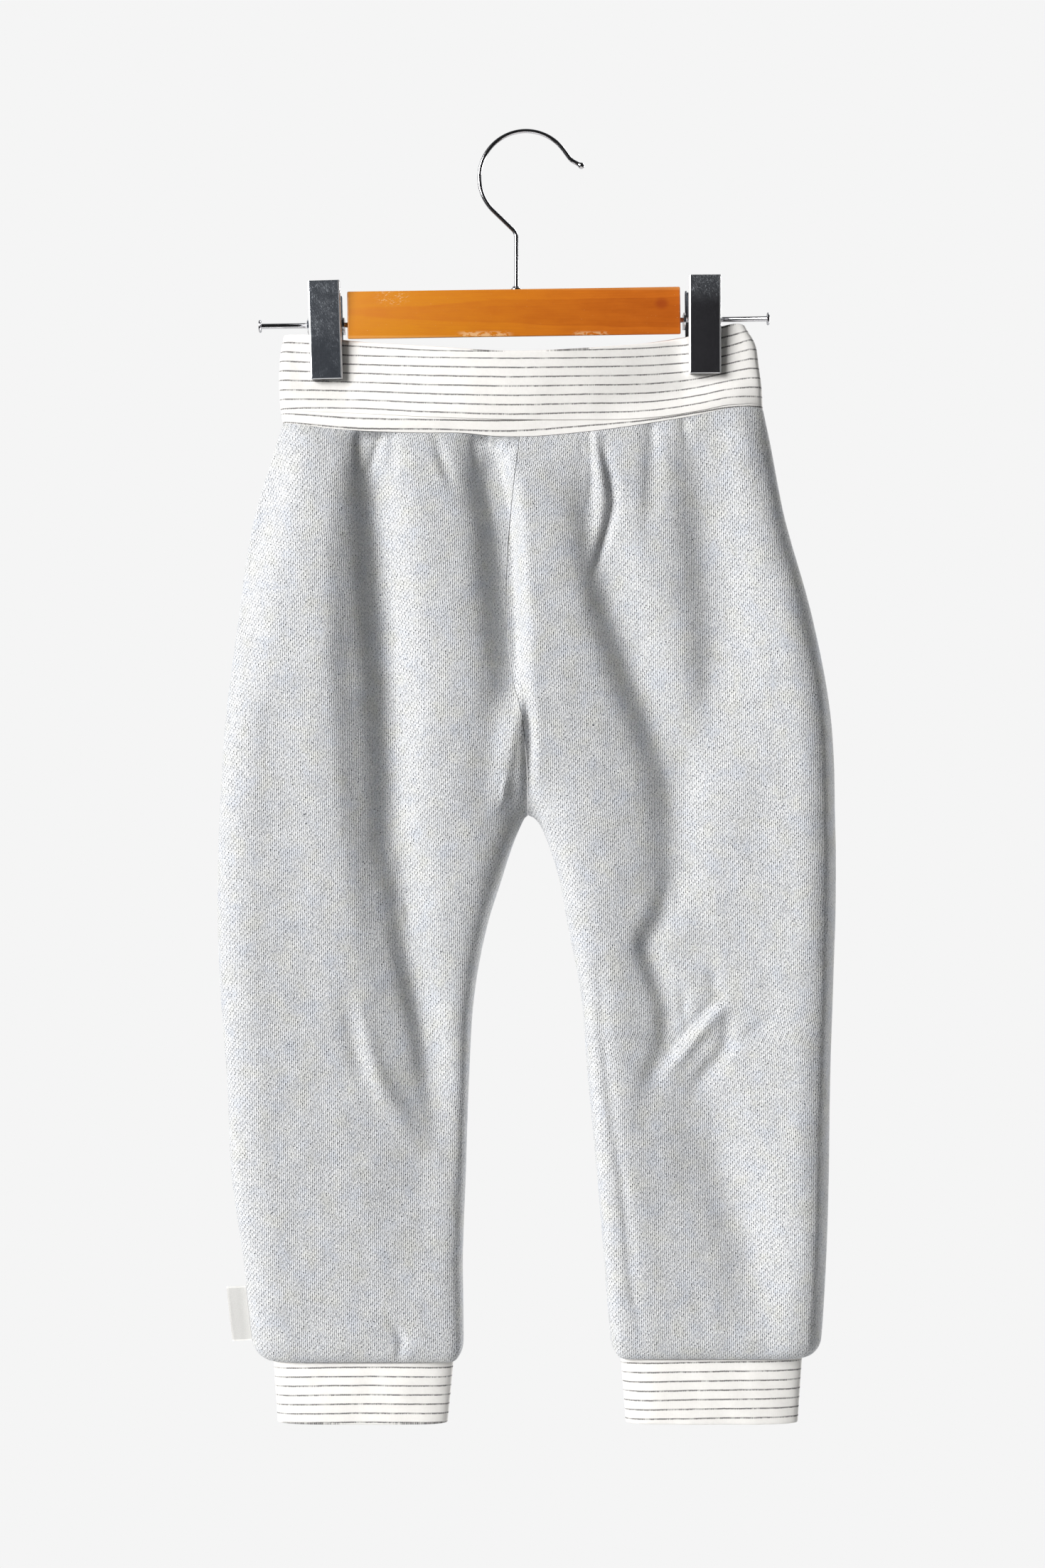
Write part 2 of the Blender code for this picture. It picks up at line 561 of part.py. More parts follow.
def make_bar(materials, collection, cutters):
    bm = bmesh.new()
    half = (BAR["length"] / 2, BAR["depth"] / 2, BAR["height"] / 2)
    box(bm, [-h for h in half], half)
    bar = object_from_bmesh("hanger_bar", bm, materials["varnished_wood"], collection)
    tilted(bar, BAR["x"], BAR["down"], HANGER_TILT)
    bevel = bar.modifiers.new("eased edges", "BEVEL")
    bevel.width = BAR["edge"] * MM
    bevel.segments = 1

    bm = bmesh.new()
    rod_along_x(bm, -ROD["length"] / 2, ROD["length"] / 2, ROD["radius"] + GAP, sides=12)
    rod_hole = object_from_bmesh("rod_hole", bm, None, cutters)
    tilted(rod_hole, ROD["x"], ROD["down"], HANGER_TILT)
    combine(bar, rod_hole, "DIFFERENCE")

    bm = bmesh.new()
    radius = (HOOK["wire"] + GAP) * MM
    depth = 2 * (HOOK["stem_in_bar"] + GAP)
    bmesh.ops.create_cone(bm, cap_ends=True, segments=12, radius1=radius, radius2=radius,
                          depth=depth * MM)
    stem_hole = object_from_bmesh("stem_hole", bm, None, cutters)
    tilted(stem_hole, HOOK["stem_x"], BAR["down"] - BAR["height"] / 2, 0.0)
    combine(bar, stem_hole, "DIFFERENCE")


def make_rod(materials, collection):
    end = ROD["length"] / 2
    neck = end - ROD["head"]
    profile = [(0.0, end), (ROD["head_radius"], end), (ROD["head_radius"], neck), (ROD["radius"], neck),
               (ROD["radius"], -neck), (ROD["head_radius"], -neck), (ROD["head_radius"], -end), (0.0, -end)]
    rod = turned("hanger_rod", profile, materials["chrome"], collection)
    tilted(rod, ROD["x"], ROD["down"], HANGER_TILT + 90.0)


def make_hook(materials, collection):
    """From the tip, over the round, down the diagonal throat and the stem into the bar."""
    turn = HOOK["turn"]
    centre = (0.0, -(turn - HOOK["wire"]))
    throat = math.radians(HOOK["throat_angle"])
    leaves = (centre[0] + turn * math.cos(throat), centre[1] + turn * math.sin(throat))
    slope = (-math.sin(throat), math.cos(throat))       # along the throat, down and to the right
    bend = HOOK["neck_bend"]
    # the neck bend's centre lies left of the stem and below the diagonal
    bend_x = HOOK["stem_x"] - bend
    # the diagonal's distance to that centre is the bend's radius
    normal = (-slope[1], slope[0])
    bend_z = leaves[1] + (-bend - normal[0] * (bend_x - leaves[0])) / normal[1]
    start = math.degrees(math.atan2(normal[1], normal[0]))
    neck = arc((bend_x, bend_z), bend, start, 0.0, 5)
    # past the round the wire runs straight, then kinks outwards to a small ball
    end = math.radians(HOOK["end_angle"])
    straight = HOOK["end_straight"]
    kink_x = centre[0] + turn * math.cos(end) + straight * math.sin(end)
    kink_z = centre[1] + turn * math.sin(end) - straight * math.cos(end)
    aim = math.radians(HOOK["tip_angle"])
    tip = [(kink_x + HOOK["tip_length"] * share * math.cos(aim), 0.0,
            kink_z + HOOK["tip_length"] * share * math.sin(aim)) for share in (1.0, 0.88, 0.64, 0.44, 0.12)]
    round_part = arc(centre, turn, HOOK["end_angle"], HOOK["throat_angle"], 26)
    stem_top = neck[-1][2]
    stem_foot = -(BAR["down"] - BAR["height"] / 2) - HOOK["stem_in_bar"]
    stem = [(HOOK["stem_x"], 0.0, stem_top + (stem_foot - stem_top) * i / 3) for i in (1, 2, 3)]
    wire("hanger_hook", tip + round_part + neck + stem, HOOK["wire"], materials["chrome"], collection,
         swell={0: 0.8, 1: 1.4, 2: 1.4})

    bar_top = BAR["down"] - BAR["height"] / 2
    inner, outer, height = HOOK["wire"] + GAP, COLLAR["radius"], COLLAR["height"]
    chamfer = COLLAR["chamfer"]
    profile = [(inner, height), (outer - chamfer, height), (outer, height - chamfer), (outer, 0.0),
               (inner, 0.0)]
    collar = turned("hook_collar", profile, materials["chrome"], collection, sides=14)
    tilted(collar, HOOK["stem_x"], bar_top - GAP, HANGER_TILT)


def jaw_sheet(bm, face, above):
    """A channel of bent sheet, its open side to the cloth, leaning out towards the top."""
    half, deep, sheet = JAW["width"] / 2, JAW["channel"], JAW["sheet"]
    low, high = -JAW["below_rod"], above
    outline = [(-half, 0.0), (-half, -deep), (half, -deep), (half, 0.0), (half - sheet, 0.0),
               (half - sheet, sheet - deep), (sheet - half, sheet - deep), (sheet - half, 0.0)]
    corners = [bm.verts.new((x * MM, -face * y * MM, low * MM)) for x, y in outline]
    base = bm.faces.new(corners)
    lifted = bmesh.ops.extrude_face_region(bm, geom=[base])["geom"]
    top = [item for item in lifted if isinstance(item, bmesh.types.BMVert)]
    bmesh.ops.translate(bm, verts=top, vec=(0.0, 0.0, (high - low) * MM))
    lean = Matrix.Rotation(-face * math.radians(JAW["lean"]), 4, "X")
    foot = Matrix.Translation((0.0, face * (PINCH_HALF + GAP) * MM, low * MM))
    bmesh.ops.transform(bm, verts=bm.verts, matrix=foot @ lean @ Matrix.Translation((0, 0, -low * MM)))


def make_jaw(name, clip, face, ear_x, shift, above, material, collection, cutters):
    """One jaw: its sheet channel, and two ears that the rod passes through."""
    bm = bmesh.new()
    jaw_sheet(bm, face, above)
    jaw = object_from_bmesh(name, bm, material, collection, smooth_angle=35)
    x = clip.x + shift
    pieces = []
    radius, sheet = JAW["ear_radius"], JAW["sheet"]
    plate = face * (PINCH_HALF + GAP + JAW["below_rod"] * math.sin(math.radians(JAW["lean"]))
                    + JAW["channel"] - JAW["ear_sink"])
    for hand in (-1, 1):
        inside, outside = sorted((hand * ear_x, hand * (ear_x + sheet)))
        bm = bmesh.new()
        low_y, high_y = sorted((0.0, plate))
        box(bm, (inside, low_y, -radius), (outside, high_y, radius))
        pieces.append((object_from_bmesh(f"{name}_arm_{hand}", bm, None, cutters), "UNION"))
        bm = bmesh.new()
        rod_along_x(bm, inside - 0.01, outside + 0.01, radius, sides=20)
        pieces.append((object_from_bmesh(f"{name}_ear_{hand}", bm, None, cutters), "UNION"))
    if ear_x > JAW["width"] / 2:
        bm = bmesh.new()
        low_y, high_y = sorted((plate, plate + face * JAW["tab"]))
        box(bm, (-ear_x - sheet, low_y, -radius), (ear_x + sheet, high_y, radius))
        pieces.append((object_from_bmesh(f"{name}_tab", bm, None, cutters), "UNION"))
    bm = bmesh.new()
    reach = JAW["width"]
    rod_along_x(bm, -reach, reach, ROD["radius"] + GAP, sides=14)
    pieces.append((object_from_bmesh(f"{name}_hole", bm, None, cutters), "DIFFERENCE"))
    tilted(jaw, x, rod_down(x), clip.tilt)
    for piece, operation in pieces:
        tilted(piece, x, rod_down(x), clip.tilt)
        combine(jaw, piece, operation)


def make_clips(materials, collection, cutters):
    inner_ear = JAW["width"] / 2 - 2 * JAW["sheet"] - GAP
    outer_ear = JAW["width"] / 2 + GAP
    inner, outer, length = SPRING["inner"], SPRING["outer"], SPRING["length"]
    coil = [(inner, length / 2), (outer, length / 2), (outer, -length / 2), (inner, -length / 2)]
    for clip in CLIPS:
        make_jaw(clip.name + "_front", clip, -1, inner_ear, 0.0, JAW["above_rod"],
                 materials["dark_chrome"], collection, cutters)
        make_jaw(clip.name + "_back", clip, 1, outer_ear, clip.rear_shift, JAW["rear_above_rod"],
                 materials["dark_chrome"], collection, cutters)
        spring = turned(clip.name + "_spring", coil, materials["chrome"], collection)
        tilted(spring, clip.x, rod_down(clip.x), HANGER_TILT + 90.0)


# ---------------------------------------------------------------- whole

def make_materials():
    made = {}
    for name, (colour, roughness, metallic) in MATERIALS.items():
        material = bpy.data.materials.new(name)
        material.use_nodes = True
        shader = material.node_tree.nodes["Principled BSDF"]
        shader.inputs["Base Color"].default_value = (*colour, 1.0)
        shader.inputs["Roughness"].default_value = roughness
        shader.inputs["Metallic"].default_value = metallic
        made[name] = material
    return made


def new_collection(name):
    collection = bpy.data.collections.new(name)
    bpy.context.scene.collection.children.link(collection)
    return collection


def main():
    for obj in list(bpy.data.objects):
        bpy.data.objects.remove(obj)
    materials = make_materials()
    parts = new_collection("sweatpants on clip hanger")
    cutters = new_collection("cutters")
    make_leg_panels(materials, parts)
    make_waistband(materials, parts)
    make_cuffs(materials, parts)
    make_side_label(materials, parts)
    make_hook(materials, parts)
    make_bar(materials, parts, cutters)
    make_rod(materials, parts)
    make_clips(materials, parts, cutters)


main()
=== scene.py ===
"""Surfaces, materials and light for a child's sweatpants on a wooden clip hanger.

Lengths are in millimetres and angles in degrees; MM turns lengths into metres. +X is the
viewer's right, -Y faces the viewer and +Z is up. The origin is the hook's inner top, and
"down" is a distance below it.
"""
import math
from collections import namedtuple

import bmesh
import bpy
import numpy as np
from mathutils import Matrix, Vector


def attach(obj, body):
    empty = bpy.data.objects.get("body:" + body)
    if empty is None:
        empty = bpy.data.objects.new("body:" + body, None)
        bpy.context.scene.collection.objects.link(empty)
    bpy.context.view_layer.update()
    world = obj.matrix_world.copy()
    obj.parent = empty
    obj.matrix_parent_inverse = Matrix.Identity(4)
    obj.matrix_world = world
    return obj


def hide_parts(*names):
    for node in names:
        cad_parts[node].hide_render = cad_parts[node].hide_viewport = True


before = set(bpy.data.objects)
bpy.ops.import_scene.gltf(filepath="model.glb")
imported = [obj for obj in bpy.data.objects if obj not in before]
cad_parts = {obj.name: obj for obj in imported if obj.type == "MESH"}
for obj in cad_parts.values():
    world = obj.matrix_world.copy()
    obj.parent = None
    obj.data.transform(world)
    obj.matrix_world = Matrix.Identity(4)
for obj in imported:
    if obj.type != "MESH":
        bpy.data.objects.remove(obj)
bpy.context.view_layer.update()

MM = 0.001
GAP = 0.3                      # between neighbouring pieces

# ---------------------------------------------------------------- sizes, most as in the CAD

SWEAT_WALL = 2.0
BAND_WALL = 2.2
SIDE_ROUNDING = 70.0
SIDE_POWER = 0.8

# Leg panels: side seams and half depths at each level
Level = namedtuple("Level", "name down left_out right_out front back")
LEVELS = (
    Level("waist seam", 173, -142.8, 139.2, 9.5, 9.5),
    Level("gathers", 188, -147.8, 142.7, 15.0, 15.0),
    Level("high hip", 226, -159.5, 151.2, 19.0, 20.0),
    Level("hip", 290, -169.5, 168.2, 22.0, 24.0),
    Level("seat", 345, -176.3, 178.5, 22.5, 25.0),
    Level("crotch", 401, -179.9, 181.0, 21.0, 23.0),
    Level("thigh", 452, -181.0, 181.4, 20.0, 20.0),
    Level("above knee", 505, -179.4, 179.8, 18.5, 18.0),
    Level("knee", 557, -175.4, 178.2, 18.0, 17.0),
    Level("calf", 613, -172.8, 177.6, 16.5, 16.0),
    Level("low calf", 660, -166.2, 176.2, 15.5, 15.0),
    Level("above hem", 705, -161.2, 173.6, 14.0, 14.0),
    Level("hem", 723, -158.8, 171.8, 13.5, 13.5),
)
WAIST_DOWN = 173.0
CROTCH_DOWN = 401.0
GROOVE_DOWN = 329.0
CROTCH_STEEPNESS = 1.3
WIDEST_ARCH = 30.0
CENTRE_X_CROTCH = 1.2

SeamPoint = namedtuple("SeamPoint", "down x")
CENTRE_SEAM = (SeamPoint(173, -3.8), SeamPoint(225, -9.0), SeamPoint(264, -11.5), SeamPoint(300, -10.5),
               SeamPoint(320, -8.0), SeamPoint(340, -3.0), SeamPoint(360, -0.4),
               SeamPoint(401, CENTRE_X_CROTCH))

Inseam = namedtuple("Inseam", "down left_in right_in")
INSEAMS = (
    Inseam(401, 1.2, 1.2),
    Inseam(408, -3.3, 8.9),
    Inseam(419, -7.8, 13.4),
    Inseam(440, -14.6, 19.7),
    Inseam(465, -22.4, 24.3),
    Inseam(509, -30.5, 32.5),
    Inseam(557, -33.4, 36.4),
    Inseam(613, -35.3, 41.7),
    Inseam(660, -36.9, 45.6),
    Inseam(705, -36.5, 49.2),
    Inseam(723, -36.5, 50.7),
)

EdgePoint = namedtuple("EdgePoint", "x down")
WAIST_SEAM = (EdgePoint(-143, 171.0), EdgePoint(-108, 175.6), EdgePoint(-82, 177.2),
              EdgePoint(-60, 177.7), EdgePoint(-36, 177.9), EdgePoint(-19, 179.6),
              EdgePoint(-5, 179.9), EdgePoint(39, 176.6), EdgePoint(92, 168.8),
              EdgePoint(131, 162.0), EdgePoint(140, 162.5))
BAND_TOP_FRONT = (EdgePoint(-143, 120.0), EdgePoint(-127, 120.0), EdgePoint(-107, 123.0),
                  EdgePoint(-62, 127.2), EdgePoint(-10, 131.0), EdgePoint(43, 128.2),
                  EdgePoint(91, 122.0), EdgePoint(102, 119.2), EdgePoint(115, 115.0),
                  EdgePoint(125, 113.4), EdgePoint(130, 114.5))
BAND_TOP_BACK = (EdgePoint(-143, 120.0), EdgePoint(-127, 120.0), EdgePoint(-107, 123.0),
                 EdgePoint(-90, 124.3), EdgePoint(-62, 125.2), EdgePoint(-10, 128.0),
                 EdgePoint(43, 126.0), EdgePoint(87, 121.8), EdgePoint(102, 119.2),
                 EdgePoint(115, 115.0), EdgePoint(125, 113.4), EdgePoint(130, 114.5))
SEAM_FADE = 60.0

BandEnd = namedtuple("BandEnd", "rise left right")
BAND_ENDS = (BandEnd(0.0, -142.8, 139.2), BandEnd(0.3, -144.5, 138.8), BandEnd(0.6, -145.0, 136.8),
             BandEnd(0.85, -144.0, 134.2), BandEnd(1.0, -142.3, 129.2))
PINCHED_BY = 0.42
PINCH_MARGIN = 3.0
PINCH_HALF = BAND_WALL + GAP
MOUTH_HALF = 11.5
MOUTH_POWER = 1.1
LOOSE_END_HALF = 2.6
LOOSE_END_REACH = 10.0         # how far past a clip the loose end takes to open
BAND_EDGE_ROUNDING = 6.0

Cuff = namedtuple("Cuff", "name side top_down left_top right_top left_foot right_foot")
CUFFS = (Cuff("cuff_left", -1, 720.8, -148.2, -42.5, -145.8, -45.9),
         Cuff("cuff_right", 1, 718.8, 55.7, 162.2, 58.6, 159.7))
CUFF_FOOT_DOWN = 757.2
CUFF_HALF = 7.0
CUFF_ROUNDING = 30.0
HEM_ROLL = 12.0
HEM_LIP = 1.0

LABEL_TOP_DOWN = 677.0
LABEL_LENGTH = 32.5
LABEL_REACH = 11.5
LABEL_THICKNESS = 0.9
LABEL_BOW = 0.35               # how far its loose side bulges to the front
LABEL_DROP = 0.5               # how much lower its fold is than its seam
LABEL_TURN = 0.032             # share of its reach that the rounded fold takes up
LABEL_WAVE = 0.05

HANGER_TILT = -0.85
BAR = {"x": -7.1, "down": 106.8, "length": 195.0, "depth": 11.0, "height": 27.9, "edge": 0.8,
       "underside_rise": 2.2}
ROD = {"x": -7.0, "down": 111.4, "length": 300.0, "radius": 1.5, "head_radius": 3.7, "head": 1.3}
HOOK = {"wire": 1.2, "turn": 27.4, "stem_x": -5.7, "stem_in_bar": 11.0,
        "throat_angle": 226.0, "end_angle": 36.0, "neck_bend": 7.0,
        "end_straight": 7.3, "tip_length": 8.6, "tip_angle": -28.0}
COLLAR = {"radius": 3.3, "height": 2.6}
Clip = namedtuple("Clip", "name x tilt rear_shift")
CLIPS = (Clip("clip_left", -117.5, -1.6, 0.0), Clip("clip_right", 104.6, -0.4, -1.2))
JAW = {"width": 18.9, "above_rod": 24.6, "rear_above_rod": 18.5, "below_rod": 32.4, "channel": 4.2,
       "sheet": 1.1, "lean": 3.6, "ear_radius": 4.2, "ear_sink": 0.5, "tab": 0.45, "tab_edge": 0.12,
       "outer_corner": 1.6, "inner_corner": 0.7}
# How much larger the radii of the bar's holes are than what goes in, and how much deeper the stem's is
DRILLED = {"rod": 0.2, "stem": 0.1, "stem_depth": 0.2}
SPRING = {"outer": 3.4, "length": 11.0, "wire": 0.55, "turns": 8.0}

# ---------------------------------------------------------------- folds of the legs

# left and right are the widths of a fold's two sides, from its line to where it has died out.
# A path is (x, down, depth) points, and a depth less than 0 raises a ridge.
Fold = namedtuple("Fold", "name face left right path")
FRONT, BACK = -1, 1
FOLDS = (
    Fold("left thigh trough", FRONT, 20, 30,
         ((-91, 180, 6), (-90, 210, 11), (-87, 245, 12), (-85, 280, 12), (-82, 315, 11), (-79, 375, 9),
          (-78, 415, 7), (-73, 445, 4))),
    Fold("left leg's broad hollow", FRONT, 46, 50,
         ((-86, 230, 0), (-82, 300, 3), (-78, 380, 4), (-70, 450, 5), (-62, 520, 5), (-60, 600, 4),
          (-64, 680, 1))),
    Fold("left thigh's fullness", FRONT, 50, 24,
         ((-112, 185, -1), (-116, 230, -4), (-116, 300, -5), (-112, 380, -4), (-104, 450, -2.5),
          (-96, 500, -1))),
    Fold("left side's hollow", FRONT, 20, 26,
         ((-146, 185, 4), (-151, 215, 8), (-160, 260, 7), (-166, 320, 3))),
    Fold("left knee trough", FRONT, 15, 24,
         ((-74, 440, 2), (-70, 475, 5), (-64, 505, 6), (-59, 530, 5.5), (-57, 550, 4.5), (-51, 590, 1.5))),
    Fold("centre trough", FRONT, 30, 12,
         ((-20, 182, 9), (-15, 207, 17), (-11, 235, 17), (-9, 270, 16), (-7, 300, 13.5), (-7, 320, 10),
          (-9, 340, 6), (-13, 375, 2.5))),
    Fold("crotch ridge", FRONT, 15, 8, ((-9, 328, 0), (-8, 345, -3), (-10, 365, -4), (-14, 390, -2))),
    Fold("crotch groove", FRONT, 6, 7,
         ((-2, 322, 1), (1, 341, 4), (1.5, 360, 5), (1, 380, 4), (1, 398, 2))),
    Fold("pleat", FRONT, 7, 6, ((40, 175, -1.5), (41, 190, -2.4), (43.5, 205, -2.6), (44, 217, -2.4),
                                (42, 233, -1.8), (38, 250, -0.6))),
    Fold("pleat's right crease", FRONT, 3, 7,
         ((45, 186, 0.8), (49, 207, 2.6), (50, 219, 3), (48, 229, 3), (45, 239, 2.6), (43, 247, 2),
          (39, 260, 0.6))),
    Fold("pleat's left crease", FRONT, 3, 4,
         ((37, 174, 1.2), (38, 192, 1.5), (38, 206, 1.3), (37, 220, 0.4))),
    Fold("right thigh trough", FRONT, 24, 34,
         ((34, 200, 2), (39, 227, 6), (43, 250, 8), (50, 280, 9), (60, 310, 9), (73, 344, 8),
          (83, 375, 7), (87, 406, 6), (87, 436, 3.5))),
    Fold("right leg's broad hollow", FRONT, 56, 56,
         ((62, 230, 1), (72, 300, 3), (82, 380, 4), (86, 450, 5), (88, 530, 5), (94, 600, 4),
          (104, 680, 1))),
    Fold("right side's fullness", FRONT, 60, 18,
         ((146, 200, -2), (156, 240, -5), (166, 300, -8), (171, 380, -9), (171, 480, -9), (168, 580, -9),
          (166, 660, -8), (162, 712, -4))),
    Fold("right knee trough", FRONT, 14, 18,
         ((86, 436, 1.5), (80, 458, 4), (71, 476, 5), (76, 494, 4.5), (82, 514, 3.5), (81, 536, 3.5),
          (75, 550, 2.5), (67, 566, 0.8))),
    Fold("right front dip", FRONT, 10, 15, ((71, 176, 1.2), (73, 201, 2.2), (72, 216, 2), (71, 238, 0.6))),
    Fold("right hip trough", FRONT, 30, 40,
         ((97, 180, 1.5), (102, 205, 5.5), (105, 235, 7), (109, 275, 7.5), (110, 312, 7), (106, 345, 5),
          (96, 380, 2))),
    Fold("knee dimple", FRONT, 8, 8, ((108, 487, 0.4), (109, 497, 1.6), (110, 506, 0.6))),
    Fold("knee crease", FRONT, 5, 7, ((90.5, 499, 0.4), (92, 512, 1.6), (94, 525, 0.4))),
    Fold("knee valley", FRONT, 8, 6, ((114, 506, 0.8), (104, 516, 2), (98, 523, 2.6), (85, 540, 1.4))),
    Fold("knee ridge", FRONT, 8, 9, ((117, 510, -0.8), (106, 520, -2.8), (97, 530, -3.2), (89, 541, -2.8),
                                     (82, 550, -1))),
    Fold("below the knee ridge", FRONT, 9, 11,
         ((117, 513, 0.6), (117, 527, 2.2), (114, 539, 2.8), (106, 549, 2.4), (97, 562, 0.8))),
    Fold("outer knee crease", FRONT, 6, 8, ((143, 519, 0.3), (133, 524, 1.3), (124, 530, 0.3))),
    Fold("right calf trough", FRONT, 32, 36,
         ((106, 560, 2), (113, 600, 5), (124, 636, 6), (133, 673, 5), (138, 702, 2))),
    Fold("right inseam dip", FRONT, 6, 8,
         ((42, 486, 0.3), (46, 541, 1), (50, 577, 1), (55, 608, 1), (59, 645, 1), (61, 669, 1),
          (67, 704, 0.4))),
    Fold("left knee dip", FRONT, 12, 14,
         ((-104, 508, 0.8), (-99, 528, 2.6), (-95, 545, 2.4), (-89, 560, 0.8))),
    Fold("left knee ridge", FRONT, 15, 12,
         ((-95, 512, -0.8), (-92, 535, -2.4), (-85, 556, -3), (-74, 573, -2.2), (-66, 592, -0.6))),
    Fold("left hem pucker", FRONT, 5, 6, ((-80, 694, 0.4), (-73, 705, 1.4), (-74, 716, 1.2))),
    Fold("left seam crease", FRONT, 3.5, 5,
         ((-146, 182, 0.5), (-154, 216, 0.9), (-160, 249, 1), (-164, 277, 1), (-167, 307, 1),
          (-171, 335, 0.9), (-173, 360, 0.3))),
    Fold("left gather, left side", FRONT, 4, 7, ((-98, 174, 1.6), (-98, 188, 2), (-96, 202, 0.5))),
    Fold("left gather, right side", FRONT, 4, 6, ((-86, 175, 1.6), (-89, 188, 1.6), (-94, 201, 0.4))),
    Fold("third gather", FRONT, 4, 6, ((-79, 174, 1.2), (-78, 186, 1), (-77, 198, 0.2))),
    Fold("fourth gather", FRONT, 5, 8, ((-53, 176, 0.9), (-48, 194, 1.9), (-43, 209, 0.6))),
    Fold("centre gather", FRONT, 5, 6, ((-9, 179, 1), (-15, 188, 1.4), (-23, 196, 0.5))),
    Fold("fifth gather", FRONT, 5, 6, ((-30, 176, 1), (-29, 188, 0.9), (-28, 198, 0.2))),
    Fold("sixth gather", FRONT, 4, 6, ((73, 171, 1), (73.5, 182, 1.4), (74, 194, 0.3))),
    Fold("seventh gather", FRONT, 4, 6, ((92, 168, 1), (92, 178, 1.2), (94, 190, 0.3))),
    Fold("back left trough", BACK, 26, 30,
         ((-68, 180, 3), (-76, 215, 6), (-82, 252, 6.5), (-89, 331, 6.5), (-95, 419, 5), (-83, 518, 2))),
    Fold("back centre trough", BACK, 18, 20, ((13, 183, 3), (5, 242, 5.5), (1, 301, 5), (11, 372, 2.5))),
    Fold("back right trough", BACK, 26, 26,
         ((76, 180, 2), (82, 220, 5), (88, 270, 6), (96, 351, 6), (102, 429, 4), (94, 498, 1.5))),
    Fold("back left hip dip", BACK, 20, 20,
         ((-120, 190, 1), (-126, 240, 3), (-130, 300, 2.4), (-128, 352, 0.6))),
    Fold("back right hip dip", BACK, 20, 20,
         ((118, 190, 1), (127, 246, 3), (134, 310, 2.4), (133, 360, 0.6))),
    Fold("back left knee ridge", BACK, 18, 14,
         ((-131, 516, -0.8), (-110, 544, -3), (-96, 567, -3), (-78, 600, -0.8))),
    Fold("back left knee valley", BACK, 12, 10, ((-120, 552, 0.8), (-101, 578, 2.4), (-88, 604, 0.8))),
    Fold("back right knee ridge", BACK, 14, 18,
         ((78, 526, -0.8), (98, 548, -3), (112, 572, -3), (133, 610, -0.8))),
    Fold("back right knee valley", BACK, 10, 12, ((84, 560, 0.8), (104, 588, 2.4), (118, 612, 0.8))),
    Fold("back gather 1", BACK, 5, 6, ((-104, 175, 1.4), (-105, 190, 1.4), (-107, 204, 0.3))),
    Fold("back gather 2", BACK, 5, 7, ((-58, 177, 1.4), (-59, 192, 1.6), (-62, 208, 0.4))),
    Fold("back gather 3", BACK, 5, 6, ((-22, 178, 1.3), (-20, 192, 1.4), (-17, 206, 0.3))),
    Fold("back gather 4", BACK, 5, 6, ((34, 176, 1.4), (36, 192, 1.6), (39, 208, 0.4))),
    Fold("back gather 5", BACK, 5, 6, ((64, 172, 1.2), (66, 186, 1.4), (70, 200, 0.3))),
    Fold("back gather 6", BACK, 5, 6, ((104, 168, 1.2), (107, 182, 1.4), (111, 196, 0.3))),
)
SIDE_REACH = {FRONT: 24.0, BACK: 45.0}   # how far in from a side seam each face goes on rising
FOLD_NEEDS = 8.0               # folds die out where the leg's half depth is less than this
FOLD_START = 4.0               # and they grow from the waist seam over this length
LEAST_SHARE = 0.3              # of its half depth that a leg keeps under its folds
LEG_WAVE = 0.3                 # height of the faint waves all over a leg
BAND_WAVE = 0.2
CUFF_WAVE = 0.4

# ---------------------------------------------------------------- shape maths


def smoothstep(value):
    """0 up to 0, 1 from 1 on, and a smooth step between."""
    t = np.clip(value, 0.0, 1.0)
    return t * t * (3.0 - 2.0 * t)


def curve_through(places, values):
    """A smooth curve through the values at the places, held level past its ends."""
    places = np.array(places, dtype=float)
    values = np.array(values, dtype=float)
    slopes = np.gradient(values, places)

    def at(place):
        place = np.clip(place, places[0], places[-1])
        i = np.clip(np.searchsorted(places, place, side="right") - 1, 0, len(places) - 2)
        span = places[i + 1] - places[i]
        t = (place - places[i]) / span
        return ((2 * t**3 - 3 * t**2 + 1) * values[i] + (t**3 - 2 * t**2 + t) * span * slopes[i]
                + (3 * t**2 - 2 * t**3) * values[i + 1] + (t**3 - t**2) * span * slopes[i + 1])

    return at


def column(rows, name):
    """One field of every row."""
    return [getattr(row, name) for row in rows]


def curve_of(rows, along, value):
    """A smooth curve of one field of the rows against another."""
    return curve_through(column(rows, along), column(rows, value))


SIDE_SEAM = {-1: curve_of(LEVELS, "down", "left_out"), 1: curve_of(LEVELS, "down", "right_out")}
HALF_DEPTH = {FRONT: curve_of(LEVELS, "down", "front"), BACK: curve_of(LEVELS, "down", "back")}
CENTRE_LINE = curve_of(CENTRE_SEAM, "down", "x")
ARCH = [math.sqrt(row.down - CROTCH_DOWN) for row in INSEAMS]
INSEAM = {-1: curve_through(ARCH, column(INSEAMS, "left_in")),
          1: curve_through(ARCH, column(INSEAMS, "right_in"))}
SEAM_LINE = curve_of(WAIST_SEAM, "x", "down")
BAND_TOP = {FRONT: curve_of(BAND_TOP_FRONT, "x", "down"), BACK: curve_of(BAND_TOP_BACK, "x", "down")}
CUFF_OF_SIDE = {cuff.side: cuff for cuff in CUFFS}


def side_rounding(distance, reach=SIDE_ROUNDING):
    """0 at a seam edge, 1 where the cloth lies flat, at the reach and beyond."""
    inward = np.clip(distance / reach, 0.0, 1.0)
    return np.power(1.0 - (1.0 - inward) ** 2, SIDE_POWER / 2.0)


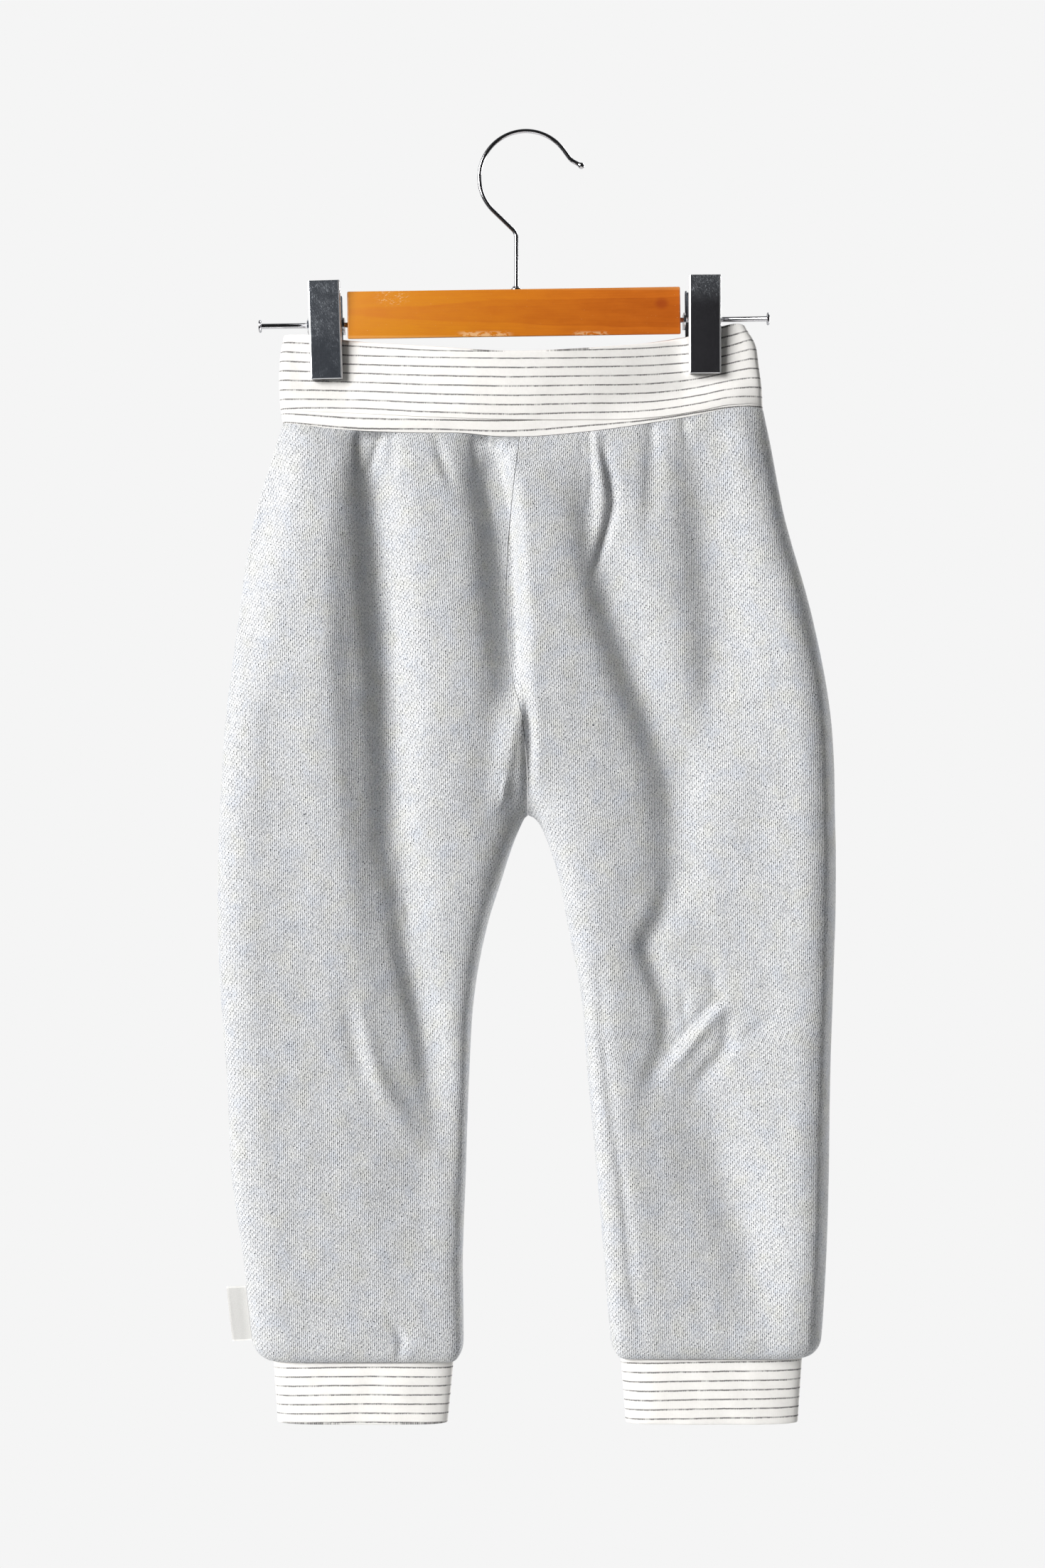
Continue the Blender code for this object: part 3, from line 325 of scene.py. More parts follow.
def ripple(x, down, shortest, longest, waves, seed):
    """Gentle waves of many directions and lengths, about 1 high at the most."""
    chance = np.random.default_rng(seed)
    total, weight = np.zeros(np.shape(x)), 0.0
    for _ in range(waves):
        length = math.exp(chance.uniform(math.log(shortest), math.log(longest)))
        heading, phase = chance.uniform(0.0, math.pi), chance.uniform(0.0, 2 * math.pi)
        along = x * math.cos(heading) + down * math.sin(heading)
        share = length / longest
        total += share * np.sin(2 * math.pi * along / length + phase)
        weight += share**2
    return total / math.sqrt(2.0 * weight)


def smooth_path(path, steps=6):
    """More points on a fold's path, on a smooth curve through its own."""
    points = np.array(path, dtype=float)
    gaps = np.hypot(*np.diff(points[:, :2], axis=0).T)
    places = np.concatenate([[0.0], np.cumsum(gaps)])
    fine = np.linspace(0.0, places[-1], steps * len(gaps) + 1)
    return np.stack([curve_through(places, points[:, i])(fine) for i in range(3)], axis=-1)


def fold_depth(x, down, face):
    """How far the folds push the cloth into the body; a ridge is less than 0."""
    total = np.zeros(np.shape(x))
    for fold in FOLDS:
        if fold.face != face:
            continue
        path = smooth_path(fold.path)
        reach = 1.6 * max(fold.left, fold.right)
        near = ((x > path[:, 0].min() - reach) & (x < path[:, 0].max() + reach)
                & (down > path[:, 1].min() - reach) & (down < path[:, 1].max() + reach))
        px, pd = x[near], down[near]
        nearest = np.full(px.shape, 1e9)
        depth = np.zeros(px.shape)
        for (x0, d0, deep0), (x1, d1, deep1) in zip(path[:-1], path[1:]):
            run_x, run_d = x1 - x0, d1 - d0
            t = np.clip(((px - x0) * run_x + (pd - d0) * run_d) / (run_x**2 + run_d**2), 0.0, 1.0)
            off_x, off_d = px - x0 - t * run_x, pd - d0 - t * run_d
            on_left = off_x * run_d - off_d * run_x < 0.0
            width = np.where(on_left, fold.left, fold.right)
            share = np.hypot(off_x, off_d) / (0.5 * width)
            depth = np.where(share < nearest, deep0 + t * (deep1 - deep0), depth)
            nearest = np.minimum(nearest, share)
        total[near] += depth * np.exp(-nearest**2)
    return total


def leg_edges(side, face, down):
    """The side seam, the inner edge, the half depth and the hem's roll at each distance down."""
    cuff = CUFF_OF_SIDE[side]
    arch = np.sqrt(np.maximum(down - CROTCH_DOWN, 0.0))
    out = SIDE_SEAM[side](down)
    inner = np.where(down <= CROTCH_DOWN, CENTRE_LINE(down), INSEAM[side](arch)) + side * GAP / 2
    depth = HALF_DEPTH[face](down)

    # the rolled hem draws the section in to the cuff's
    level = np.clip((cuff.top_down - down) / HEM_ROLL, 0.0, 1.0)
    roll = 1.0 - np.sqrt(1.0 - (1.0 - level) ** 2)
    cuff_out, cuff_in = ((cuff.left_top, cuff.right_top) if side < 0
                         else (cuff.right_top, cuff.left_top))
    out = out + roll * (cuff_out - side * HEM_LIP - out)
    inner = inner + roll * (cuff_in + side * HEM_LIP - inner)
    return out, inner, depth + roll * (CUFF_HALF - HEM_LIP - depth), roll


def leg_form(side, face, x, down):
    """Half depth of a leg without its folds, and how free the cloth is to fold there."""
    out, inner, depth, roll = leg_edges(side, face, down)
    full = depth * side_rounding(np.abs(x - out), SIDE_REACH[face])
    from_inner = np.abs(inner - x)
    fall = np.clip((down - GROOVE_DOWN) / (CROTCH_DOWN - GROOVE_DOWN), 1e-4, 1.0)
    seam_half = depth * np.sqrt(1.0 - fall**2) / fall
    arch = np.sqrt(np.maximum(down - CROTCH_DOWN, 0.0))
    opening = np.abs(INSEAM[side](arch) - CENTRE_X_CROTCH)
    opening = opening / (1.0 + opening / WIDEST_ARCH)
    saddle = CROTCH_STEEPNESS**2 * (from_inner**2 + 2.0 * opening * from_inner)
    saddle = saddle + np.where(down <= CROTCH_DOWN, seam_half**2, 0.0)
    half = full / np.sqrt(1.0 + full**2 / np.maximum(saddle, 1e-6))
    top_fade = smoothstep((down - WAIST_DOWN + 1.0) / FOLD_START)
    return half, smoothstep(half / FOLD_NEEDS) * (1.0 - roll) * top_fade


def pushed_in(half, push):
    """Half depth after the cloth is pushed in, never thinner than a share of what it was."""
    least = LEAST_SHARE * half
    over = half - push - least
    return least + 0.5 * (over + np.sqrt(over**2 + 4.0 * (half / (half + 4.0))**2))


def leg_surface(side, face, share, down):
    """A point of a leg's outside. share runs from the side seam (0) to the centre or inseam (1)."""
    out, inner, _, _ = leg_edges(side, face, down)
    x = out + (inner - out) * share
    half, free = leg_form(side, face, x, down)
    waves = ripple(x, down, shortest=12.0, longest=45.0, waves=26, seed=5 + face)
    folds = fold_depth(x, down, face) + LEG_WAVE * waves
    lift = (WAIST_DOWN - SEAM_LINE(x)) * (1.0 - smoothstep((down - WAIST_DOWN) / SEAM_FADE))
    return np.stack([x, face * (GAP / 2 + pushed_in(half, folds * free)), lift - down], axis=-1)


# ---------------------------------------------------------------- mesh makers

def linked(name, data):
    """A new object in the scene that shows this mesh, light or camera."""
    obj = bpy.data.objects.new(name, data)
    bpy.context.scene.collection.objects.link(obj)
    return obj


def object_of(name, bm, material):
    """A new object from a bmesh, which is freed."""
    mesh = bpy.data.meshes.new(name)
    bm.to_mesh(mesh)
    bm.free()
    mesh.materials.append(material)
    return linked(name, mesh)


def grid_normals(grid, ring=False):
    """Unit normals of a grid of points, from its neighbours."""
    if ring:
        across = np.roll(grid, -1, axis=1) - np.roll(grid, 1, axis=1)
    else:
        across = np.gradient(grid, axis=1)
    normals = np.cross(across, np.gradient(grid, axis=0))
    return normals / np.maximum(np.linalg.norm(normals, axis=-1, keepdims=True), 1e-12)


def arc_lengths(grid, axis):
    """Distance along the grid's columns (axis 0) or rows (axis 1), from the first point."""
    steps = np.linalg.norm(np.diff(grid, axis=axis), axis=-1)
    first = np.zeros_like(np.take(steps, [0], axis=axis))
    return np.concatenate([first, np.cumsum(steps, axis=axis)], axis=axis)


def rim_between(start, stop, away, steps=5):
    """Rows of a half-round rim from one row of points to another."""
    middle, half = (start + stop) / 2.0, (start - stop) / 2.0
    radius = np.linalg.norm(half, axis=-1, keepdims=True)
    angles = [math.pi * i / steps for i in range(1, steps)]
    return [middle + half * math.cos(a) + away * radius * math.sin(a) for a in angles]


def volume_of(points, faces):
    """Six times the volume inside the triangles, less than 0 where they face inwards."""
    a, b, c = (points[faces[:, i]] for i in range(3))
    return float(np.einsum("ij,ij->i", a, np.cross(b, c)).sum())


def mesh_piece(name, points, faces, material, uv=None, smooth_angle=None):
    """A mesh object from points in millimetres, its faces turned outwards."""
    points = np.asarray(points, dtype=float)
    triangles = np.array([face[:3] for face in faces] + [(f[0], f[2], f[3]) for f in faces if len(f) == 4])
    if volume_of(points, triangles) < 0.0:
        faces = [face[::-1] for face in faces]
    mesh = bpy.data.meshes.new(name)
    mesh.from_pydata((points * MM).tolist(), [], faces)
    if uv is not None:
        layer = mesh.uv_layers.new(name="cloth")
        corners = np.empty(len(mesh.loops), dtype=np.int32)
        mesh.loops.foreach_get("vertex_index", corners)
        layer.data.foreach_set("uv", (np.asarray(uv) * MM)[corners].ravel())
    mesh.materials.append(material)
    mesh.shade_smooth()
    if smooth_angle is not None:
        mesh.set_sharp_from_angle(angle=math.radians(smooth_angle))
    return linked(name, mesh)


def cloth_piece(name, outer, inner, outer_uv, inner_uv, material, ring=False, rims=(None, None)):
    """A closed wall of cloth. A rim is None for a flat one, or the direction that it bulges in."""
    rows, columns = outer.shape[:2]
    layers, uvs = list(outer), list(outer_uv)
    if rims[1] is not None:
        extra = rim_between(outer[-1], inner[-1], np.array(rims[1]))
        layers += extra
        uvs += [outer_uv[-1]] * len(extra)
    layers += list(inner[::-1])
    uvs += list(inner_uv[::-1])
    if rims[0] is not None:
        extra = rim_between(inner[0], outer[0], np.array(rims[0]))
        layers += extra
        uvs += [outer_uv[0]] * len(extra)
    count = len(layers)
    faces = []
    for i in range(count):
        below = (i + 1) % count
        for j in range(columns if ring else columns - 1):
            k = (j + 1) % columns
            faces.append((i * columns + j, i * columns + k, below * columns + k, below * columns + j))
    if not ring:
        for j, flip in ((0, True), (columns - 1, False)):
            for i in range(rows - 1):
                o, oo = i * columns + j, (i + 1) * columns + j
                n, nn = (2 * rows - 1 - i) * columns + j, (2 * rows - 2 - i) * columns + j
                faces.append((o, oo, nn, n) if flip else (o, n, nn, oo))
    return mesh_piece(name, np.concatenate(layers), faces, material, np.concatenate(uvs), smooth_angle=60)


def sweep(name, path, radii, material, sides=20):
    """A round bar along a path in the XZ plane, closed by a point at each end."""
    path = np.array(path, dtype=float)
    tangents = np.gradient(path, axis=0)
    tangents /= np.linalg.norm(tangents, axis=1, keepdims=True)
    sideways = np.stack([tangents[:, 2], np.zeros(len(path)), -tangents[:, 0]], axis=1)
    angles = np.linspace(0.0, 2 * math.pi, sides, endpoint=False)
    rings = (path[:, None, :] + np.array(radii)[:, None, None]
             * (np.cos(angles)[None, :, None] * sideways[:, None, :]
                + np.sin(angles)[None, :, None] * np.array([0.0, 1.0, 0.0])))
    ends = [path[0] - tangents[0] * radii[0] * 0.35, path[-1] + tangents[-1] * radii[-1] * 0.35]
    faces = []
    for i in range(len(path) - 1):
        for j in range(sides):
            k = (j + 1) % sides
            faces.append((i * sides + j, i * sides + k, (i + 1) * sides + k, (i + 1) * sides + j))
    top, foot = len(path) * sides, len(path) * sides + 1
    for j in range(sides):
        k = (j + 1) % sides
        faces.append((top, k, j))
        faces.append((foot, (len(path) - 1) * sides + j, (len(path) - 1) * sides + k))
    return mesh_piece(name, np.concatenate([rings.reshape(-1, 3), ends]), faces, material, smooth_angle=50)


def turned(name, profile, material, sides, smooth_angle=35):
    """A solid turned about Z from (radius, height) points; a radius of 0 closes it with a point."""
    points, rings = [], []
    for radius, height in profile:
        rings.append((len(points), 1 if radius == 0.0 else sides))
        for j in range(rings[-1][1]):
            angle = 2 * math.pi * j / sides
            points.append((radius * math.cos(angle), radius * math.sin(angle), height))
    if profile[0][0] > 0.0:
        rings.append(rings[0])
    faces = []
    for (a, a_count), (b, b_count) in zip(rings[:-1], rings[1:]):
        for j in range(sides):
            k = (j + 1) % sides
            corners = [a + j % a_count, a + k % a_count, b + k % b_count, b + j % b_count]
            faces.append(tuple(dict.fromkeys(corners)))
    return mesh_piece(name, points, faces, material, smooth_angle=smooth_angle)


def rounded(points, radius, steps):
    """A path of flat points whose corners, all but its two ends, are rounded off."""
    result = [points[0]]
    for before, corner, after in zip(points[:-2], points[1:-1], points[2:]):
        corner = np.array(corner, dtype=float)
        to_before = np.array(before) - corner
        to_after = np.array(after) - corner
        cut = min(radius, 0.5 * np.linalg.norm(to_before), 0.5 * np.linalg.norm(to_after))
        start = corner + to_before / np.linalg.norm(to_before) * cut
        stop = corner + to_after / np.linalg.norm(to_after) * cut
        for i in range(steps + 1):
            t = i / steps
            result.append(tuple((1 - t) ** 2 * start + 2 * t * (1 - t) * corner + t**2 * stop))
    result.append(points[-1])
    return result


def finished(obj):
    """The object with its modifiers applied and its place put into its mesh."""
    bpy.context.view_layer.update()
    depsgraph = bpy.context.evaluated_depsgraph_get()
    mesh = bpy.data.meshes.new_from_object(obj.evaluated_get(depsgraph), depsgraph=depsgraph)
    mesh.transform(obj.matrix_world)
    obj.modifiers.clear()
    old, obj.data = obj.data, mesh
    mesh.name = obj.name
    obj.matrix_world = Matrix.Identity(4)
    bpy.data.meshes.remove(old)
    return obj


def tilted(x, down, tilt):
    """The place of a hanger piece, turned about Y."""
    return Matrix.Translation((x * MM, 0.0, -down * MM)) @ Matrix.Rotation(math.radians(tilt), 4, "Y")


def place(obj, matrix):
    """Moves an object's mesh; the object itself stays at the origin."""
    obj.data.transform(matrix)
    return obj


def joined(name, pieces, material):
    """One object from several, their meshes side by side."""
    bm = bmesh.new()
    for piece in pieces:
        bm.from_mesh(piece.data)
        bpy.data.objects.remove(piece)
    return object_of(name, bm, material)


def smoothed(obj, angle):
    """Smooth shading, with edges sharper than the angle left crisp."""
    obj.data.shade_smooth()
    obj.data.set_sharp_from_angle(angle=math.radians(angle))
    return obj


# ---------------------------------------------------------------- shader maths

def srgb(red, green, blue):
    """A linear colour from 0 to 255 display values."""
    values = [value / 255.0 for value in (red, green, blue)]
    linear = [v / 12.92 if v <= 0.04045 else ((v + 0.055) / 1.055) ** 2.4 for v in values]
    return (*linear, 1.0)


def operator(operation):
    """The methods of one Python operator, its plain form and its reflected one."""

    def plain(self, other):
        return self.maths(operation, self, other)

    def reflected(self, other):
        return self.maths(operation, other, self)

    return plain, reflected


class Socket:
    """A node's output in Python expressions; each operation adds a Math node."""

    def __init__(self, shader, link):
        self.shader = shader
        self.link = link

    def maths(self, operation, *values):
        return self.shader.node("ShaderNodeMath", {"operation": operation}, *values)

    __add__, __radd__ = operator("ADD")
    __sub__, __rsub__ = operator("SUBTRACT")
    __mul__, __rmul__ = operator("MULTIPLY")
    __truediv__, __rtruediv__ = operator("DIVIDE")

    def __pow__(self, other):
        return self.maths("POWER", self, other)

    def floor(self):
        return self.maths("FLOOR", self)

    def fraction(self):
        return self.maths("FRACT", self)

    def size(self):
        return self.maths("ABSOLUTE", self)

    def sine(self):
        return self.maths("SINE", self)

    def least(self, other):
        return self.maths("MINIMUM", self, other)

    def most(self, other):
        return self.maths("MAXIMUM", self, other)


class Shader:
    """One material's node tree, and the ways its nodes are made."""

    def __init__(self, name):
        self.material = bpy.data.materials.new(name)
        self.material.use_nodes = True
        self.tree = self.material.node_tree
        self.surface = self.tree.nodes["Principled BSDF"]

    def node(self, kind, settings=None, *values, output=0, **named):
        """Adds a node: its settings first, then values or links for its sockets."""
        node = self.tree.nodes.new(kind)
        for key, value in (settings or {}).items():
            setattr(node, key, value)
        for index, value in enumerate(values):
            self.feed(node.inputs[index], value)
        for key, value in named.items():
            self.feed(node.inputs[key.replace("_", " ")], value)
        return Socket(self, node.outputs[output])

    def feed(self, socket, value):
        if isinstance(value, Socket):
            self.tree.links.new(value.link, socket)
        else:
            socket.default_value = value

    def set(self, **values):
        """Feeds the surface's own sockets, named with _ for a space."""
        for key, value in values.items():
            self.feed(self.surface.inputs[key.replace("_", " ")], value)

    def parts(self, vector):
        """The X, Y and Z of a vector."""
        apart = self.tree.nodes.new("ShaderNodeSeparateXYZ")
        self.feed(apart.inputs[0], vector)
        return [Socket(self, output) for output in apart.outputs]

    def cloth_places(self):
        """The cloth's own directions in millimetres: across and along."""
        return [part / MM for part in self.parts(self.node("ShaderNodeUVMap", {"uv_map": "cloth"}))[:2]]

    def object_places(self):
        """Object coordinates in millimetres."""
        return [part / MM for part in self.parts(self.node("ShaderNodeTexCoord", output="Object"))]

    def vector(self, x, y, z=0.0):
        return self.node("ShaderNodeCombineXYZ", None, x, y, z)

    def noise(self, vector, scale, detail=2.0, roughness=0.5):
        """Smooth noise, 0 to 1."""
        return self.node("ShaderNodeTexNoise", {"noise_dimensions": "3D"}, Vector=vector, Scale=scale,
                         Detail=detail, Roughness=roughness)

    def chance(self, vector):
        """A number from 0 to 1 that is the same all over one cell."""
        return self.node("ShaderNodeTexWhiteNoise", {"noise_dimensions": "3D"}, Vector=vector)

    def between(self, value, low, high, start=0.0, stop=1.0):
        """A smooth step from start to stop as the value goes from low to high."""
        return self.node("ShaderNodeMapRange", {"interpolation_type": "SMOOTHSTEP"}, value, low, high,
                         start, stop)

    def near(self, value, full, gone):
        """1 where the value is less than full from 0, and none where it is more than gone."""
        return self.between(value.size(), full, gone, 1.0, 0.0)

    def mix(self, factor, first, second):
        """One colour turning into another."""
        node = self.tree.nodes.new("ShaderNodeMix")
        node.data_type = "RGBA"
        for index, value in ((0, factor), (6, first), (7, second)):
            self.feed(node.inputs[index], value)
        return Socket(self, node.outputs[2])

    def bump(self, height, distance, strength=1.0):
        """Relief; the height runs from 0 to 1 over the distance in millimetres."""
        return self.node("ShaderNodeBump", None, Strength=strength, Distance=distance * MM, Height=height)


# ---------------------------------------------------------------- finishes

WALE = 1.12                    # from one column of stitches to the next
COURSE = 1.06                  # from one row of stitches to the next
COURSE_SLANT = 0.11            # rows climbed for each millimetre across


def sweat_cloth():
    """Melange sweat jersey: a dark tie stitch in every third row, one row on in each column, with painted
    shade in the stitches' pits and along the columns' grooves.
    """
    shader = Shader("sweat_cloth")
    u, v = shader.cloth_places()
    drift = shader.noise(shader.vector(u * 0.02, v * 0.05), 1.0, 1.0) * 1.2
    wander = shader.noise(shader.vector(u * 0.25, v * 0.16, 9.0), 1.0, 2.0) - 0.5
    wale = u / WALE + drift + wander * 0.5
    course = v / COURSE + u * COURSE_SLANT + drift + wander * 0.7
    column, row = wale.floor(), course.floor()
    turn = ((column + row) / 3.0 + 0.02).fraction()
    luck = shader.chance(shader.vector(column, row))
    other_luck = shader.chance(shader.vector(column, row, 17.3))
    across = wale.fraction() - 0.5 + (other_luck - 0.5) * 0.2
    along = course.fraction() - 0.5 + (luck - 0.5) * 0.14
    gap = ((across / 0.27) ** 2.0 + (along / (0.4 + other_luck * 0.12)) ** 2.0) ** 0.5
    tie = shader.between(turn, 0.1, 0.7, 1.0, 0.1)
    dash = shader.between(gap, 0.35, 1.35, 1.0, 0.0) * tie
    groove = shader.near(wale.fraction() - 0.5, 0.05, 0.45)
    patches = shader.noise(shader.vector(u, v), 0.09, 3.0, 0.6)
    streaks = shader.noise(shader.vector(u * 0.045, v * 0.6), 1.0, 3.0, 0.65)
    strength = 0.04 + luck * 0.6 + (patches - 0.5) * 0.9 + (streaks - 0.5) * 1.0
    strength = strength + shader.between(luck, 0.93, 1.0, 0.0, 0.5)
    heather = shader.noise(shader.vector(u * 1.5, v * 0.7), 1.0, 3.0, 0.75)
    tint = shader.noise(shader.vector(u * 0.07, v * 0.07, 5.0), 1.0, 2.0, 0.6)
    light = shader.between(heather, 0.28, 0.72) + (patches - 0.5) * 0.7 + (streaks - 0.5) * 0.5
    ground = shader.mix(light.least(1.0).most(0.0), srgb(180, 182, 186), srgb(240, 240, 239))
    # painted shade: the ground is painted darker along the groove down the middle of each column
    ground = shader.mix(groove * 0.22, ground, srgb(150, 153, 160))
    ground = shader.mix(shader.between(tint, 0.5, 0.7) * 0.18, ground, srgb(214, 211, 188))
    ground = shader.mix(shader.between(tint, 0.5, 0.3) * 0.18, ground, srgb(184, 195, 216))
    # the tie stitches' dark yarn, painted darker than the yarn alone as shade in the pits they sit in
    dark_yarn_and_pit_shade = shader.mix(other_luck, srgb(28, 30, 36), srgb(84, 88, 98))
    colour = shader.mix((dash * strength).least(0.97).most(0.0), ground, dark_yarn_and_pit_shade)
    relief = 0.9 - groove * 0.06 - dash * (0.3 + luck * 0.7) + heather * 0.3
    shader.set(Base_Color=colour, Roughness=0.92, Normal=shader.bump(relief, 0.9, 1.0))
    shader.set(Sheen_Weight=0.06, Sheen_Roughness=0.5, Specular_IOR_Level=0.12)
    return shader.material


RIB = 0.67                     # from one rib, or tick, to the next
RIB_COURSE = 0.55              # from one row of the rib's stitches to the next
STRIPE_PITCH = 5.38            # from one stripe to the next
CLIP_SHADOW_ACROSS = (105.5, -116.5)      # across the cloth, where the top stripes are painted darker beside the jaws as the clips' shadow


def rib_jersey():
    """Off-white rib jersey with thin stripes of dark ticks, one tick to a rib, and the clips' shadow
    painted beside the jaws.
    """
    shader = Shader("rib_jersey")
    u, v = shader.cloth_places()
    ribs = u / RIB
    number = ribs.floor()
    lines = v / STRIPE_PITCH + 0.5
    stripe = lines.floor()
    luck = shader.chance(shader.vector(number, stripe))
    waver = shader.noise(shader.vector(u * 0.12, stripe * 7.3), 1.0, 2.0) - 0.5
    off_line = (lines.fraction() - 0.5) * STRIPE_PITCH + waver * 0.35 + (luck - 0.5) * 0.12
    across = ribs.fraction() - 0.5
    tall = shader.near(off_line, 0.34, 0.58)
    wide = shader.near(across + off_line * 0.12, 0.2, 0.42)
    fading = shader.noise(shader.vector(u * 0.16, stripe * 3.1, 4.0), 1.0, 2.0)
    # painted shadow of the clips: the top five stripes are painted darker just beside each jaw
    beside = shader.near(u - CLIP_SHADOW_ACROSS[0], 1.5, 3.5)
    beside = beside + shader.near(u - CLIP_SHADOW_ACROSS[1], 1.5, 3.5)
    shadow_and_dark_stretches = beside * shader.between(v, -5.6 * STRIPE_PITCH, -5.4 * STRIPE_PITCH) * 0.6
    # the tenth and the ninth stripe are darker over a few stretches of the band
    tenth_here = shader.between(u, -72.0, -58.0, 1.0, 0.0)
    tenth_here = tenth_here + shader.near(u - 90.0, 12.0, 20.0)
    tenth = shader.between(stripe, -9.8, -9.6, 1.0, 0.0) * tenth_here
    ninth_here = shader.near(u - 22.0, 18.0, 28.0)
    ninth = shader.near(stripe + 9.0, 0.2, 0.4) * ninth_here
    shadow_and_dark_stretches = shadow_and_dark_stretches + (tenth + ninth) * 0.5
    strength = (luck * 0.45 + shader.between(fading, 0.3, 0.62, 0.32, 0.8) + shadow_and_dark_stretches).least(1.0)
    bridge = shader.between(off_line.size(), 0.1, 0.4, 0.35, 0.0)
    tick = (tall * wide + bridge).least(1.0) * strength
    mottle = shader.noise(shader.vector(u * 0.5, v * 0.5), 1.0, 3.0)
    ground = shader.mix(mottle, srgb(233, 230, 226), srgb(243, 241, 237))
    colour = shader.mix(tick, ground, srgb(38, 36, 38))
    ridges = (ribs * (2 * math.pi)).sine() * 0.5 + 0.5
    courses = (v * (2 * math.pi / RIB_COURSE)).sine() * 0.2
    relief = ridges * 0.6 + courses + mottle * 0.5 - tick * 0.3
    shader.set(Base_Color=colour, Roughness=0.88, Normal=shader.bump(relief, 0.12, 0.4))
    shader.set(Sheen_Weight=0.08, Sheen_Roughness=0.5, Specular_IOR_Level=0.2)
    shader.set(Subsurface_Weight=0.2, Subsurface_Radius=(1.0, 1.0, 1.0), Subsurface_Scale=2.0 * MM)
    return shader.material


def label_tape():
    """Bare woven tape, with a fine weave and pale selvedges."""
    shader = Shader("label_tape")
    u, v = shader.cloth_places()
    weave = (u * (2 * math.pi / 0.38)).sine() * (v * (2 * math.pi / 0.5)).sine()
    mottle = shader.noise(shader.vector(u, v), 1.4, 3.0)
    ground = shader.mix(mottle, srgb(190, 189, 186), srgb(212, 211, 208))
    half = LABEL_LENGTH / 2
    selvedge = shader.between((v - half).size(), half - 1.1, half - 0.7)
    colour = shader.mix(selvedge, ground, srgb(228, 227, 223))
    shader.set(Base_Color=colour, Roughness=0.75, Normal=shader.bump(weave * 0.5 + 0.5, 0.08, 0.5))
    shader.set(Specular_IOR_Level=0.3)
    return shader.material


# Places on the bar: a knot, a patch of scratches, and where its lower edge is worn
KNOT = {"x": 79.4, "down": 101.2}
SCRATCHED = {"x": -78.0, "down": 97.0}
WORN_X = (-24.0, 38.0)


def varnished_wood():
    """Amber varnish over close grain: a pointed arch of rings, a knot, scratches, worn spots and a painted
    highlight along the top and bottom edges.
    """
    shader = Shader("varnished_wood")
    x, y, z = shader.object_places()
    depth = y * 0.35
    wander = shader.noise(shader.vector(x * 0.018, depth * 0.3, z * 0.05), 1.0, 2.0) - 0.5
    across = (z + BAR["down"] - 0.5 + wander * 5.0) / 8.6
    arch = across**2.0 - (x + 79.0) / 172.0 + depth * 0.1
    rings = (arch * 2.1 + wander * 0.6).fraction()
    ring = shader.between(rings, 0.55, 1.0)
    fine = shader.noise(shader.vector(x * 0.03, depth, z * 1.5), 1.0, 4.0, 0.6)
    pores = shader.noise(shader.vector(x * 0.12, y * 2.0, z * 5.0), 1.0, 2.0, 0.6)
    along = shader.between(x, -100.0, 92.0)
    base = shader.mix(along, srgb(203, 127, 4), srgb(206, 108, 28))
    deep = shader.mix(along, srgb(196, 110, 14), srgb(178, 84, 16))
    inside = shader.between(arch, -0.12, 0.05, 0.5, 0.0)
    clouds = shader.noise(shader.vector(x * 0.05, depth, z * 0.14), 1.0, 3.0, 0.6)
    grain = ring * 0.12 + inside * 0.8 + shader.between(fine, 0.35, 0.7) * 0.16
    grain = (grain + shader.between(clouds, 0.35, 0.7) * 0.3).least(1.0)
    colour = shader.mix(grain, base, deep)
    colour = shader.mix(shader.between(pores, 0.62, 0.75) * 0.12, colour, srgb(120, 58, 20))
    knot = ((x - KNOT["x"]) ** 2.0 + ((z + KNOT["down"]) * 1.2) ** 2.0) ** 0.5 + (fine - 0.5) * 2.0
    colour = shader.mix(shader.between(knot, 1.5, 5.5, 0.6, 0.0), colour, srgb(158, 62, 22))

    scratch = shader.noise(shader.vector(x * 0.5 + z * 0.35, y, z * 2.2 - x * 0.6), 1.0, 3.0, 0.7)
    from_scratches = ((x - SCRATCHED["x"]) ** 2.0 + ((z + SCRATCHED["down"]) * 1.6) ** 2.0) ** 0.5
    near_scratches = shader.between(from_scratches, 4.0, 13.0, 1.0, 0.0)
    specks = shader.noise(shader.vector(x, y, z), 0.9, 2.0, 0.7)
    marks = shader.between(scratch, 0.57, 0.66) * near_scratches + shader.between(specks, 0.7, 0.74) * 0.7
    chips = shader.noise(shader.vector(x * 0.35, y * 0.5, z * 0.6), 1.0, 3.0, 0.7)
    low = shader.between(z + BAR["down"] + 11.6, -0.4, 1.4, 1.0, 0.0)
    worn_left = shader.near(x - WORN_X[0], 10.0, 18.0)
    worn_right = shader.near(x - WORN_X[1], 7.0, 12.0)
    worn = shader.between(chips, 0.44, 0.52) * low * (worn_left + worn_right).least(1.0)
    # painted highlight: a pale strip along the bar's top and bottom edges
    edge = shader.between((z + BAR["down"]).size(), 13.0, 13.9) * 0.22
    colour = shader.mix(edge, colour, srgb(240, 190, 120))
    colour = shader.mix((marks * 0.6 + worn * 0.55).least(0.9), colour, srgb(236, 200, 150))
    roughness = 0.34 + fine * 0.12 + worn * 0.3
    relief = fine * 0.5 - pores * 0.3 - (marks + worn) * 0.6
    shader.set(Base_Color=colour, Roughness=roughness, Normal=shader.bump(relief, 0.1, 0.5))
    shader.set(Coat_Weight=0.22, Coat_Roughness=0.2, Specular_IOR_Level=0.35)
    return shader.material


